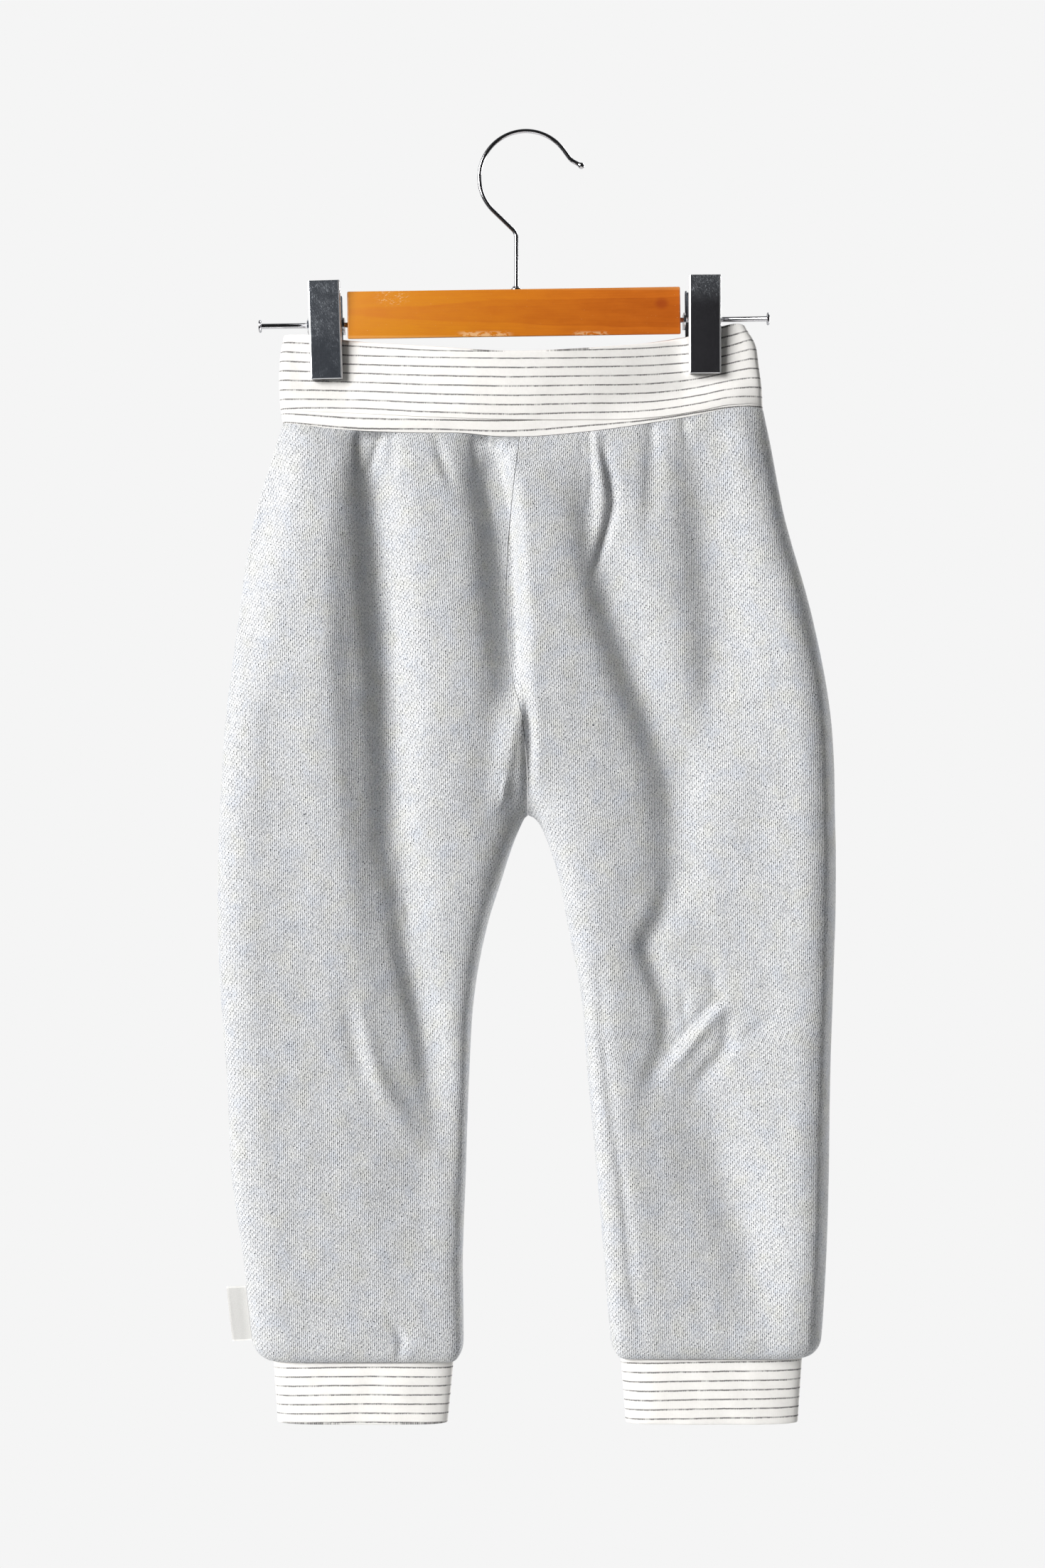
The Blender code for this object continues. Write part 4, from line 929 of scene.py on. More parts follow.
def polished_metal(name, colour, roughness, scratched):
    """Plated steel with fine upright scratches and small bright flecks."""
    shader = Shader(name)
    x, y, z = shader.object_places()
    haze = shader.noise(shader.vector(x, y, z), 0.25, 3.0, 0.6)
    lines = shader.noise(shader.vector(x * 5.0, y * 5.0, z * 0.35), 1.0, 4.0, 0.75)
    flecks = shader.noise(shader.vector(x * 2.6, y * 2.6, z * 0.9), 1.0, 3.0, 0.8)
    busy = shader.between(shader.noise(shader.vector(x * 0.12, 0.0, z * 0.07), 1.0, 2.0), 0.35, 0.65)
    marks = (shader.between(lines, 0.6, 0.72) + shader.between(flecks, 0.66, 0.74)) * busy * scratched
    light = tuple(min(1.0, 2.2 * c + 0.25) for c in colour[:3]) + (1.0,)
    shader.set(Base_Color=shader.mix(marks.least(0.75), colour, light), Metallic=1.0,
               Roughness=roughness + haze * 0.06 + marks * 0.25,
               Normal=shader.bump(haze - marks * 0.6, 0.03, 0.4))
    return shader.material


def dark_plate():
    """Dark plating, dull with fine scratches on the flats, with a painted highlight: near-white where its
    faces turn sideways, up or down, as at the rounded edges and corners.
    """
    shader = Shader("dark_chrome")
    x, y, z = shader.object_places()
    facing = shader.parts(shader.node("ShaderNodeNewGeometry", output="Normal"))
    sideways, upright = facing[0].size(), facing[2].size()
    worn_out = shader.between(x, -60.0, 60.0, 1.0, 0.0)
    haze = shader.noise(shader.vector(x, y, z), 0.2, 3.0, 0.6)
    lines = shader.noise(shader.vector(x * 3.0, y * 3.0, z * 0.4), 1.0, 4.0, 0.75)
    leaning = shader.noise(shader.vector(x * 2.0 + z * 0.8, y * 2.0, z * 0.3 - x * 0.25), 1.0, 3.0, 0.75)
    flecks = shader.noise(shader.vector(x * 1.5, y * 1.5, z * 1.1), 1.0, 4.0, 0.8)
    upper = shader.between(z, -104.0, -90.0)
    ends = shader.between((z + 103.0).size(), 10.0, 26.0)
    cloudy = shader.between(haze, 0.4, 0.62)
    busy = worn_out * (0.5 + cloudy * 0.3) * (1.0 - ends * 0.6)
    busy = (busy + (1.0 - worn_out) * (upper * 0.9 + 0.12)).least(1.0)
    marks = shader.between(lines, 0.56, 0.7) * 0.4 + shader.between(leaning, 0.55, 0.68) * 0.7
    marks = ((marks + shader.between(flecks, 0.54, 0.68) * 0.6) * busy).least(1.0)
    face = shader.mix(worn_out, srgb(104, 102, 107), srgb(108, 114, 124))
    face = shader.mix(busy * 0.6, face, srgb(176, 182, 190))
    face = shader.mix(marks * 0.85, face, srgb(226, 230, 236))
    # painted highlight: faces turned sideways, up or down are painted near-white and made less metallic
    edge = shader.between(sideways, 0.12, 0.45).most(shader.between(upright, 0.35, 0.7) * 0.8)
    shader.set(Base_Color=shader.mix(edge, face, srgb(250, 250, 251)))
    shader.set(Metallic=(0.88 - worn_out * 0.08 - edge * 0.55 - marks * 0.35).most(0.3))
    shader.set(Roughness=0.16 + cloudy * 0.05 + marks * 0.25 - edge * 0.05)
    shader.set(Normal=shader.bump(haze * 0.6 - marks * 0.5, 0.03, 0.4))
    return shader.material


def nep_yarn():
    """Dark blue-grey lint caught in the jersey."""
    shader = Shader("nep_yarn")
    x, y, z = shader.object_places()
    tone = shader.noise(shader.vector(x, y, z), 0.4, 1.0)
    shader.set(Base_Color=shader.mix(tone, srgb(40, 44, 54), srgb(84, 90, 102)), Roughness=0.95)
    shader.set(Specular_IOR_Level=0.1)
    return shader.material


# ---------------------------------------------------------------- geometry nodes

class Tree:
    """One Geometry Nodes tree, and the ways its nodes are made."""

    def __init__(self, name, sizes):
        self.tree = bpy.data.node_groups.new(name, "GeometryNodeTree")
        self.tree.interface.new_socket(name="Geometry", in_out="INPUT", socket_type="NodeSocketGeometry")
        for label, (kind, value) in sizes.items():
            socket = self.tree.interface.new_socket(name=label, in_out="INPUT", socket_type=kind)
            socket.default_value = value
        self.tree.interface.new_socket(name="Geometry", in_out="OUTPUT", socket_type="NodeSocketGeometry")
        self.inputs = self.tree.nodes.new("NodeGroupInput")
        self.result = self.tree.nodes.new("NodeGroupOutput")

    def node(self, kind, settings=None, **values):
        """Adds a node: its settings first, then values or links for its named sockets."""
        node = self.tree.nodes.new(kind)
        for key, value in (settings or {}).items():
            setattr(node, key, value)
        for key, value in values.items():
            socket = node.inputs[key.replace("_", " ")]
            if isinstance(value, bpy.types.NodeSocket):
                self.tree.links.new(value, socket)
            else:
                socket.default_value = value
        return node

    def random_vector(self, low, high):
        """A random vector for each point, between two vectors."""
        chance = self.node("FunctionNodeRandomValue", {"data_type": "FLOAT_VECTOR"})
        chance.inputs[0].default_value, chance.inputs[1].default_value = low, high
        return chance

    def finish(self, geometry, material):
        """Ends the tree: instances made real, painted and smooth."""
        real = self.node("GeometryNodeRealizeInstances", Geometry=geometry)
        painted = self.node("GeometryNodeSetMaterial", Geometry=real.outputs[0], Material=material)
        smooth = self.node("GeometryNodeSetShadeSmooth", Geometry=painted.outputs[0])
        self.tree.links.new(smooth.outputs[0], self.result.inputs[0])
        return self.tree


def grown(obj, tree, sizes):
    """Runs a tree on an object and keeps its plain mesh."""
    modifier = obj.modifiers.new("tree", "NODES")
    modifier.node_group = tree
    for item in tree.interface.items_tree:
        if item.in_out == "INPUT" and item.name in sizes:
            modifier[item.identifier] = sizes[item.name]
    return finished(obj)


def spring_tree(material):
    """A coil of wire along Z."""
    tree = Tree("spring coil", {"Turns": ("NodeSocketFloat", 6.0), "Radius": ("NodeSocketFloat", 0.003),
                                "Length": ("NodeSocketFloat", 0.01), "Wire": ("NodeSocketFloat", 0.0005)})
    given = tree.inputs.outputs
    coil = tree.node("GeometryNodeCurveSpiral", Resolution=24, Rotations=given["Turns"],
                     Start_Radius=given["Radius"], End_Radius=given["Radius"], Height=given["Length"])
    section = tree.node("GeometryNodeCurvePrimitiveCircle", {"mode": "RADIUS"}, Resolution=10,
                        Radius=given["Wire"])
    wire = tree.node("GeometryNodeCurveToMesh", Curve=coil.outputs[0], Profile_Curve=section.outputs[0])
    wire.inputs["Fill Caps"].default_value = True
    return tree.finish(wire.outputs[0], material)


def nep_tree(material):
    """Small knots of lint scattered over a piece of cloth."""
    tree = Tree("scattered neps", {"Density": ("NodeSocketFloat", 2000.0),
                                   "Size": ("NodeSocketFloat", 0.0004), "Seed": ("NodeSocketInt", 1)})
    given = tree.inputs.outputs
    spots = tree.node("GeometryNodeDistributePointsOnFaces", {"distribute_method": "RANDOM"},
                      Mesh=given["Geometry"], Density=given["Density"], Seed=given["Seed"])
    knot = tree.node("GeometryNodeMeshIcoSphere", Radius=given["Size"], Subdivisions=1)
    flat = tree.node("GeometryNodeTransform", Geometry=knot.outputs[0], Scale=(1.0, 0.75, 0.45))
    swell = tree.random_vector((0.5, 0.5, 0.6), (1.5, 1.1, 1.1))
    tree.tree.links.new(given["Seed"], swell.inputs["Seed"])
    turn = tree.random_vector((0.0, 0.0, 0.0), (0.0, 0.0, 6.283))
    spun = tree.node("FunctionNodeRotateRotation", {"rotation_space": "LOCAL"},
                     Rotation=spots.outputs["Rotation"])
    tree.tree.links.new(turn.outputs[0], spun.inputs["Rotate By"])
    copies = tree.node("GeometryNodeInstanceOnPoints", Points=spots.outputs["Points"],
                       Instance=flat.outputs[0], Rotation=spun.outputs[0], Scale=swell.outputs[0])
    return tree.finish(copies.outputs[0], material)


# ---------------------------------------------------------------- cloth

PanelGrid = namedtuple("PanelGrid", "face name columns spacing")
PANEL_GRIDS = (PanelGrid(FRONT, "front", 116, 1.7), PanelGrid(BACK, "back", 88, 2.1))
HEM_ROWS = 12
PANEL_CROWDING = 0.38          # how much a panel's columns crowd towards its two seams
BAND_CROWDING = 0.2
GRAIN_X = 95.0                 # where the columns of stitches run straight down a leg
SIDE_SHIFT = 400.0             # these two keep the panels' patterns apart
FACE_SHIFT = 90.0
NEPS_PER_SQUARE_METRE = 2600.0
NEP_RADIUS = 0.42


def crowded_shares(count, crowding):
    """Shares from 0 to 1: evenly spaced for a crowding of 0, much closer at both ends for 1."""
    even = np.linspace(0.0, 1.0, count)
    return (1.0 - crowding) * even + crowding * (0.5 - 0.5 * np.cos(np.pi * even))


def leg_places(side, columns, spacing):
    """Shares across and levels down for a leg panel's grid, closer at the seams and the hem."""
    shares = crowded_shares(columns + 1, PANEL_CROWDING)
    foot = CUFF_OF_SIDE[side].top_down
    straight = foot - HEM_ROLL
    rows = np.linspace(WAIST_DOWN, straight, int((straight - WAIST_DOWN) / spacing) + 1)
    turn = foot - HEM_ROLL * (1.0 - np.sin(np.linspace(0.0, math.pi / 2, HEM_ROWS))[1:])
    return np.meshgrid(shares, np.concatenate([rows, turn]))


def make_leg_panels(material):
    """The four leg panels, each one piece from the waist seam to the rolled hem."""
    panels = []
    for side, side_name in ((-1, "left"), (1, "right")):
        for face, face_name, columns, spacing in PANEL_GRIDS:
            share, down = leg_places(side, columns, spacing)
            outer = leg_surface(side, face, share, down)
            normals = grid_normals(outer) * -side * face
            normals[:, 0, 1] = 0.0
            below = down[:, -1] >= CROTCH_DOWN
            normals[below, -1, 1] = 0.0
            normals[~below, -1, 0] = 0.0
            normals /= np.linalg.norm(normals, axis=-1, keepdims=True)
            normals *= np.sign(np.sum(normals[5:-5, 5:-5, 1] * face))
            inner = outer - SWEAT_WALL * normals
            outer[0, :, 2] -= GAP / 2
            inner[0, :, 2] = outer[0, :, 2]
            across = arc_lengths(outer, 1)
            from_grain = -side * (outer[..., 0] - side * GRAIN_X)
            starts = [np.interp(0.0, *row) for row in zip(from_grain, across)]
            across = (across - np.array(starts)[:, None]) * side * face
            middle = outer.shape[1] // 2
            along = arc_lengths(outer, 0)[:, middle:middle + 1]
            uv = np.stack([across + SIDE_SHIFT * side + FACE_SHIFT * face, along + 0.0 * across], axis=-1)
            name = f"{face_name}_{side_name}"
            panels.append(cloth_piece(name + "_panel", outer, inner, uv, uv, material))
    return panels


def band_half_depth(x, left, right, rise):
    """Half depth of the waistband: the legs' lens at the seam, pinched at the clips above."""
    lens = HALF_DEPTH[FRONT](WAIST_DOWN) * np.minimum(side_rounding(x - left), side_rounding(right - x))
    reach = 0.5 * JAW["width"] + PINCH_MARGIN
    inner_left, inner_right = CLIPS[0].x + reach, CLIPS[1].x - reach
    mouth = np.clip((x - inner_left) / (inner_right - inner_left), 0.0, 1.0)
    top = PINCH_HALF + (MOUTH_HALF - PINCH_HALF) * np.sin(np.pi * mouth) ** MOUTH_POWER
    loose = np.maximum(CLIPS[0].x - reach - x, x - CLIPS[1].x - reach)
    top = top + (LOOSE_END_HALF - PINCH_HALF) * smoothstep(loose / LOOSE_END_REACH)
    end = np.minimum(x - left, right - x)
    top = top * side_rounding(end, reach=BAND_EDGE_ROUNDING)
    held = smoothstep(rise / PINCHED_BY)
    return lens + (top - lens) * held


TUCK_RISE = 0.2                # of the waistband's height, where its tuck meets its two ends
# The tuck: half the step at its crease, how far the cloth stands out over the crease and is drawn
# in under it, and the distances over which both fade
TUCK = {"half_step": 0.1, "out": 0.45, "out_fade": 4.0, "in": 0.25, "in_fade": 2.0}
STILL_BY_CLIP = 9.0            # the waves are gone up to 1.2 times this from a clip's middle
STILL_BY_EDGE = 5.0            # and they grow over this distance from an edge, or this half depth

# How far down the waistband's stripes lie: the first, second and eighth above the tuck's crease,
# the ninth and tenth below it. tuck is how strongly the cloth laps over the crease.
BandLine = namedtuple("BandLine", "x first second eighth crease ninth tenth tuck")
BAND_LINES = (
    BandLine(-141, 123.5, 129.0, 162.5, 164.0, 165.5, 170.5, 0.2),
    BandLine(-105, 125.5, 131.0, 162.5, 165.5, 168.5, 174.5, 0.6),
    BandLine(-53, 129.5, 133.5, 165.5, 168.5, 170.0, 175.5, 0.8),
    BandLine(-6, 130.5, 134.5, 167.0, 170.0, 170.5, 176.5, 1.0),
    BandLine(29, 129.5, 134.0, 166.0, 170.0, 168.5, 174.0, 1.0),
    BandLine(80, 126.5, 131.5, 163.5, 168.0, 163.5, 169.0, 1.0),
    BandLine(104, 123.5, 129.0, 159.5, 164.0, 159.5, 165.0, 0.9),
    BandLine(118, 120.0, 126.0, 156.5, 161.0, 157.0, 162.5, 0.7),
    BandLine(131, 116.5, 122.0, 155.5, 160.0, 156.0, 161.5, 0.3))


def rib_tube(name, rows, uvs, inner_uvs, material, rims):
    """A closed ring of doubled rib from its rows of outer points, walled inwards."""
    outer = np.array(rows)
    normals = grid_normals(outer, ring=True)
    normals[..., 2] = 0.0
    normals /= np.linalg.norm(normals, axis=-1, keepdims=True)
    normals *= np.sign(np.sum((outer - outer.mean(axis=1, keepdims=True)) * normals))
    inner = outer - BAND_WALL * normals
    return cloth_piece(name, outer, inner, uvs, inner_uvs, material, ring=True, rims=rims)


def make_waistband(material):
    """The doubled band, open at the top, with a tuck that laps over just above the waist seam."""
    left_of = curve_of(BAND_ENDS, "rise", "left")
    right_of = curve_of(BAND_ENDS, "rise", "right")
    shares = crowded_shares(190, BAND_CROWDING)
    lines = {name: curve_of(BAND_LINES, "x", name) for name in BandLine._fields[1:]}
    above = [(1.0 - (1.0 - TUCK_RISE) * share, share, True) for share in np.linspace(0.0, 1.0, 48)]
    below = [(TUCK_RISE - TUCK_RISE * share, share, False) for share in np.linspace(0.0, 1.0, 14)]
    rows, uvs = [], []
    for rise, share, over_crease in above + below:
        left, right = float(left_of(rise)), float(right_of(rise))
        ring, ring_uv = [], []
        for face, stations in ((FRONT, shares[:-1]), (BACK, shares[:0:-1])):
            x = left + (right - left) * stations
            at = {name: line(x) for name, line in lines.items()}
            top, foot = BAND_TOP[face](x), SEAM_LINE(x) - GAP / 2
            above_crease, below_crease = at["crease"] - TUCK["half_step"], at["crease"] + TUCK["half_step"]
            start, stop = (top, above_crease) if over_crease else (below_crease, foot)
            down = start + (stop - start) * share
            half = band_half_depth(x, left, right, (foot - down) / (foot - top))
            over = np.abs(at["crease"] - down)
            lap = (TUCK["out"] * np.exp(-over / TUCK["out_fade"]) if over_crease
                   else -TUCK["in"] * np.exp(-over / TUCK["in_fade"]))
            from_clip = np.minimum(np.abs(x - CLIPS[0].x), np.abs(x - CLIPS[1].x))
            free = smoothstep(from_clip / STILL_BY_CLIP - 1.2)
            waves = BAND_WAVE * ripple(x, foot - down, shortest=14.0, longest=60.0, waves=16,
                                       seed=31 + face) * free
            inward = smoothstep((np.minimum(x - left, right - x) - 2.0) / STILL_BY_EDGE)
            y = half + (at["tuck"] * lap + waves * smoothstep((foot - down) / STILL_BY_EDGE)) * inward
            ring += list(np.stack([x, face * y, -down], axis=-1))
            if over_crease:
                pitch = (at["eighth"] - at["second"]) / 6.0
                first_pitch = at["second"] - at["first"]
                number = 2.0 + (down - at["second"]) / np.where(down > at["second"], pitch, first_pitch)
            else:
                number = 9.0 + (down - at["ninth"]) / (at["tenth"] - at["ninth"])
            ring_uv += list(np.stack([x * face, -number * STRIPE_PITCH], axis=-1))
        rows.append(ring)
        uvs.append(ring_uv)
    between_stripes = np.array(uvs)
    between_stripes[..., 1] = STRIPE_PITCH * 0.5
    return rib_tube("waistband_rib", rows, uvs, between_stripes, material, rims=((0.0, 0.0, 1.0), None))


# Stripes of each cuff: one's height above the foot, the distance from one to the next, how much
# higher they lie in the middle than at the ends, and how far they sink from left to right
CUFF_STRIPES = {"cuff_left": {"above": 1.2, "pitch": 5.35, "arch": 1.1, "sink": -0.3},
                "cuff_right": {"above": -1.6, "pitch": 5.45, "arch": 0.5, "sink": -1.6}}


def make_cuffs(material):
    """The two doubled cuffs, open at the foot."""
    cuffs = []
    stations = crowded_shares(72, 1.0)
    for cuff in CUFFS:
        look = CUFF_STRIPES[cuff.name]
        rows, uvs = [], []
        for share in np.linspace(0.0, 1.0, 30):
            left = cuff.left_top + share * (cuff.left_foot - cuff.left_top)
            right = cuff.right_top + share * (cuff.right_foot - cuff.right_top)
            top = cuff.top_down + GAP
            z = -(top + share * (CUFF_FOOT_DOWN - BAND_WALL / 2 - top))
            ring, ring_uv = [], []
            for face, places in ((FRONT, stations[:-1]), (BACK, stations[:0:-1])):
                x = left + (right - left) * places
                half = (CUFF_HALF * side_rounding(x - left, CUFF_ROUNDING)
                        * side_rounding(right - x, CUFF_ROUNDING))
                wave = CUFF_WAVE * ripple(x, -z, shortest=12.0, longest=40.0, waves=12,
                                          seed=47 + face + cuff.side)
                y = half + wave * smoothstep(half / STILL_BY_EDGE) * smoothstep(share * 4.0)
                ring += list(np.stack([x, face * y, np.full_like(x, z)], axis=-1))
                across = (places - 0.5) * 2.0
                above = z + CUFF_FOOT_DOWN - look["above"]
                line = above + look["arch"] * (across**2 - 0.5) + look["sink"] * 0.5 * across
                ring_uv += list(np.stack([x * face, line * STRIPE_PITCH / look["pitch"]], axis=-1))
            rows.append(ring)
            uvs.append(ring_uv)
        cuffs.append(rib_tube(cuff.name + "_rib", rows, uvs, uvs, material, rims=(None, (0.0, 0.0, -1.0))))
    return cuffs


def make_label(material):
    """A loop of tape, flat, its inner edge along the side seam and its fold outside."""
    rows, uvs = [], []
    half = LABEL_THICKNESS / 2
    for share in np.linspace(0.0, 1.0, 34):
        down = LABEL_TOP_DOWN + 0.25 + (LABEL_LENGTH - 0.5) * share
        seam = float(SIDE_SEAM[-1](down)) - GAP
        reach = np.linspace(0.0, 1.0, 15)
        x = seam - LABEL_REACH * reach
        bow = LABEL_BOW * math.sin(math.pi * share) * reach**2
        thick = half * np.sqrt(np.clip(1.0 - np.maximum(reach - 0.97, 0.0) / LABEL_TURN, 0.02, 1.0))
        z = np.full_like(x, -down) - LABEL_DROP * reach
        front = np.stack([x, -thick - bow + LABEL_WAVE * np.sin(9 * reach), z], axis=-1)
        rear = np.stack([x, thick - bow + LABEL_WAVE * np.sin(9 * reach), z], axis=-1)
        rows.append((front, rear))
        uvs.append(np.stack([reach * LABEL_REACH, np.full_like(x, LABEL_LENGTH * share)], axis=-1))
    outer = np.array([front for front, _ in rows])
    inner = np.array([rear for _, rear in rows])
    uv = np.array(uvs)
    return cloth_piece("side_label_tape", outer, inner, uv, uv, material)


# ---------------------------------------------------------------- hanger

def arc(centre, radius, start, stop, steps):
    """Points of an arc in the XZ plane, angles in degrees from +X towards +Z."""
    angles = [math.radians(start + (stop - start) * i / steps) for i in range(steps + 1)]
    return [(centre[0] + radius * math.cos(a), 0.0, centre[1] + radius * math.sin(a)) for a in angles]


def rod_down(x):
    """How far down the rod's middle line lies at x."""
    return ROD["down"] - (x - ROD["x"]) * math.tan(math.radians(-HANGER_TILT))


def make_hook(material):
    """From the ball at the tip, over the round, down the diagonal throat and the stem into the bar."""
    turn = HOOK["turn"]
    centre = (0.0, -(turn - HOOK["wire"]))
    throat = math.radians(HOOK["throat_angle"])
    leaves = (centre[0] + turn * math.cos(throat), centre[1] + turn * math.sin(throat))
    normal = (-math.cos(throat), -math.sin(throat))
    bend = HOOK["neck_bend"]
    bend_x = HOOK["stem_x"] - bend
    bend_z = leaves[1] + (-bend - normal[0] * (bend_x - leaves[0])) / normal[1]
    start = math.degrees(math.atan2(normal[1], normal[0]))
    neck = arc((bend_x, bend_z), bend, start, 0.0, 14)
    end = math.radians(HOOK["end_angle"])
    joint = np.array([centre[0] + turn * math.cos(end), centre[1] + turn * math.sin(end)])
    kink = joint + HOOK["end_straight"] * np.array([math.sin(end), -math.cos(end)])
    aim = math.radians(HOOK["tip_angle"])
    heading = np.array([math.cos(aim), math.sin(aim)])
    bend_points = rounded([tuple(kink + heading * 4.5), tuple(kink), tuple(joint)], 2.6, 8)
    # the ball: (distance along the tip as a share, radius as a share of the wire)
    ball = ((1.0, 0.45), (0.97, 0.95), (0.9, 1.35), (0.8, 1.55), (0.7, 1.4), (0.62, 1.1), (0.57, 1.0))
    path = [tuple(kink + heading * HOOK["tip_length"] * share) for share, _ in ball]
    radii = [HOOK["wire"] * share for _, share in ball]
    path = [(x, 0.0, z) for x, z in path + bend_points[1:-1]]
    path += arc(centre, turn, HOOK["end_angle"], HOOK["throat_angle"], 70) + neck
    stem_top = neck[-1][2]
    stem_foot = -(BAR["down"] - BAR["height"] / 2) - HOOK["stem_in_bar"]
    path += [(HOOK["stem_x"], 0.0, stem_top + (stem_foot - stem_top) * i / 3) for i in (1, 2, 3)]
    radii += [HOOK["wire"]] * (len(path) - len(radii))
    return sweep("hook_wire", path, radii, material)


def make_collar(material):
    """The stepped washer on the bar's top."""
    inner, outer, height = HOOK["wire"] + 0.05, COLLAR["radius"], COLLAR["height"]
    profile = [(inner, height), (1.9, height), (2.2, height - 0.25), (2.45, height - 0.9),
               (outer - 0.25, height - 1.35), (outer, height - 1.7), (outer, 0.3), (outer - 0.2, 0.05),
               (inner, 0.05)]
    collar = turned("hook_collar_ring", profile, material, sides=36, smooth_angle=50)
    return place(collar, tilted(HOOK["stem_x"], BAR["down"] - BAR["height"] / 2, HANGER_TILT))


def make_bar(material):
    """The wooden bar with eased edges, drilled for the rod and the hook's stem."""
    bm = bmesh.new()
    size = [BAR["length"] * MM, BAR["depth"] * MM, BAR["height"] * MM, 1.0]
    bmesh.ops.create_cube(bm, size=1.0, matrix=Matrix.Diagonal(size))
    for corner in bm.verts:
        if corner.co.y > 0.0 > corner.co.z:
            corner.co.z += BAR["underside_rise"] * MM
    bar = object_of("hanger_bar_wood", bm, material)
    bar.matrix_world = tilted(BAR["x"], BAR["down"], HANGER_TILT)
    bevel = bar.modifiers.new("eased edges", "BEVEL")
    bevel.width = BAR["edge"] * MM
    bevel.segments = 4
    drills = []
    for label, radius, reach, matrix in (
            ("rod", ROD["radius"] + DRILLED["rod"], ROD["length"],
             tilted(ROD["x"], ROD["down"], HANGER_TILT + 90.0)),
            ("stem", HOOK["wire"] + DRILLED["stem"], 2 * (HOOK["stem_in_bar"] + DRILLED["stem_depth"]),
             tilted(HOOK["stem_x"], BAR["down"] - BAR["height"] / 2, 0.0))):
        profile = [(0.0, reach / 2), (radius, reach / 2), (radius, -reach / 2), (0.0, -reach / 2)]
        drill = place(turned(label + " drill", profile, material, sides=24), matrix)
        hole = bar.modifiers.new(label, "BOOLEAN")
        hole.object = drill
        hole.operation = "DIFFERENCE"
        hole.solver = "EXACT"
        drills.append(drill)
    finished(bar)
    for drill in drills:
        bpy.data.objects.remove(drill)
    return smoothed(bar, 30)


def make_rod(material):
    """The rod, with a flat rounded head at each end."""
    end, head = ROD["length"] / 2, ROD["head_radius"]
    neck = end - ROD["head"]
    ease = 0.35
    half = [(0.0, end), (head - 1.0, end - 0.02), (head - ease, end - 0.15), (head, end - 0.15 - ease),
            (head, neck + 0.2), (head - 0.25, neck), (ROD["radius"] + 0.35, neck - 0.05),
            (ROD["radius"], neck - 0.4)]
    profile = half + [(radius, -height) for radius, height in half[::-1]]
    rod = turned("hanger_rod_steel", profile, material, sides=32, smooth_angle=50)
    return place(rod, tilted(ROD["x"], ROD["down"], HANGER_TILT + 90.0))


def channel(name, face, above, material):
    """A jaw's channel of bent sheet: rounded outer corners, a rounded foot and turned-in sides."""
    half, deep, sheet = JAW["width"] / 2, JAW["channel"], JAW["sheet"]
    low, high = -JAW["below_rod"], above
    outside = rounded([(-half, 0.0), (-half, -deep), (half, -deep), (half, 0.0)], JAW["outer_corner"], 6)
    inset = half - sheet
    inside = rounded([(inset, 0.0), (inset, sheet - deep), (-inset, sheet - deep), (-inset, 0.0)],
                     JAW["inner_corner"], 6)
    outline = np.array(outside + inside)
    heights = [low, low + 0.12, low + 0.45, low + 1.0, low + 2.0,
               high - 1.2, high - 0.5, high - 0.12, high]
    pulled = [1.1, 0.62, 0.25, 0.05, 0.0, 0.0, 0.05, 0.2, 0.5]
    points = []
    for height, pull in zip(heights, pulled):
        ring = outline.copy()
        ring[:, 0] = np.clip(ring[:, 0], -half + pull, half - pull)
        ring[:, 1] = np.maximum(ring[:, 1], -deep + 0.55 * pull)
        points += [(x, -face * y, height) for x, y in ring]
    count = len(outline)
    faces = []
    for i in range(len(heights) - 1):
        for j in range(count):
            k = (j + 1) % count
            faces.append((i * count + j, i * count + k, (i + 1) * count + k, (i + 1) * count + j))
    pairs = len(outside)
    for base in (0, (len(heights) - 1) * count):
        for j in range(pairs - 1):
            a, b = base + j, base + j + 1
            c, d = base + count - 2 - j, base + count - 1 - j
            faces.append((a, b, c, d) if base == 0 else (d, c, b, a))
    jaw = mesh_piece(name, points, faces, material, smooth_angle=40)
    lean = Matrix.Rotation(-face * math.radians(JAW["lean"]), 4, "X")
    foot = Matrix.Translation((0.0, face * (PINCH_HALF + GAP) * MM, low * MM))
    return place(jaw, foot @ lean @ Matrix.Translation((0, 0, -low * MM)))


def make_ear(name, face, inside, outside, plate, material):
    """A flat ear: an arm from the jaw's plate that ends in a half round about the rod, with its hole."""
    radius = JAW["ear_radius"]
    hole = ROD["radius"] + GAP
    angles = np.linspace(-math.pi / 2, math.pi / 2, 15)
    rim = [(-face * radius * math.cos(a), radius * math.sin(a)) for a in angles]
    outline = [(plate, -radius)] + rim + [(plate, radius)]
    steps = 28
    ring = [(hole * math.cos(2 * math.pi * i / steps), hole * math.sin(2 * math.pi * i / steps))
            for i in range(steps)]
    bm = bmesh.new()
    outer = [bm.verts.new((inside * MM, y * MM, z * MM)) for y, z in outline]
    inner = [bm.verts.new((inside * MM, y * MM, z * MM)) for y, z in ring]
    edges = [bm.edges.new((loop[i], loop[(i + 1) % len(loop)])) for loop in (outer, inner)
             for i in range(len(loop))]
    filled = bmesh.ops.triangle_fill(bm, use_beauty=True, edges=edges)["geom"]
    plane = [item for item in filled if isinstance(item, bmesh.types.BMFace)]
    lifted = bmesh.ops.extrude_face_region(bm, geom=plane)["geom"]
    top = [item for item in lifted if isinstance(item, bmesh.types.BMVert)]
    bmesh.ops.translate(bm, verts=top, vec=((outside - inside) * MM, 0.0, 0.0))
    bmesh.ops.recalc_face_normals(bm, faces=bm.faces)
    return object_of(name, bm, material)


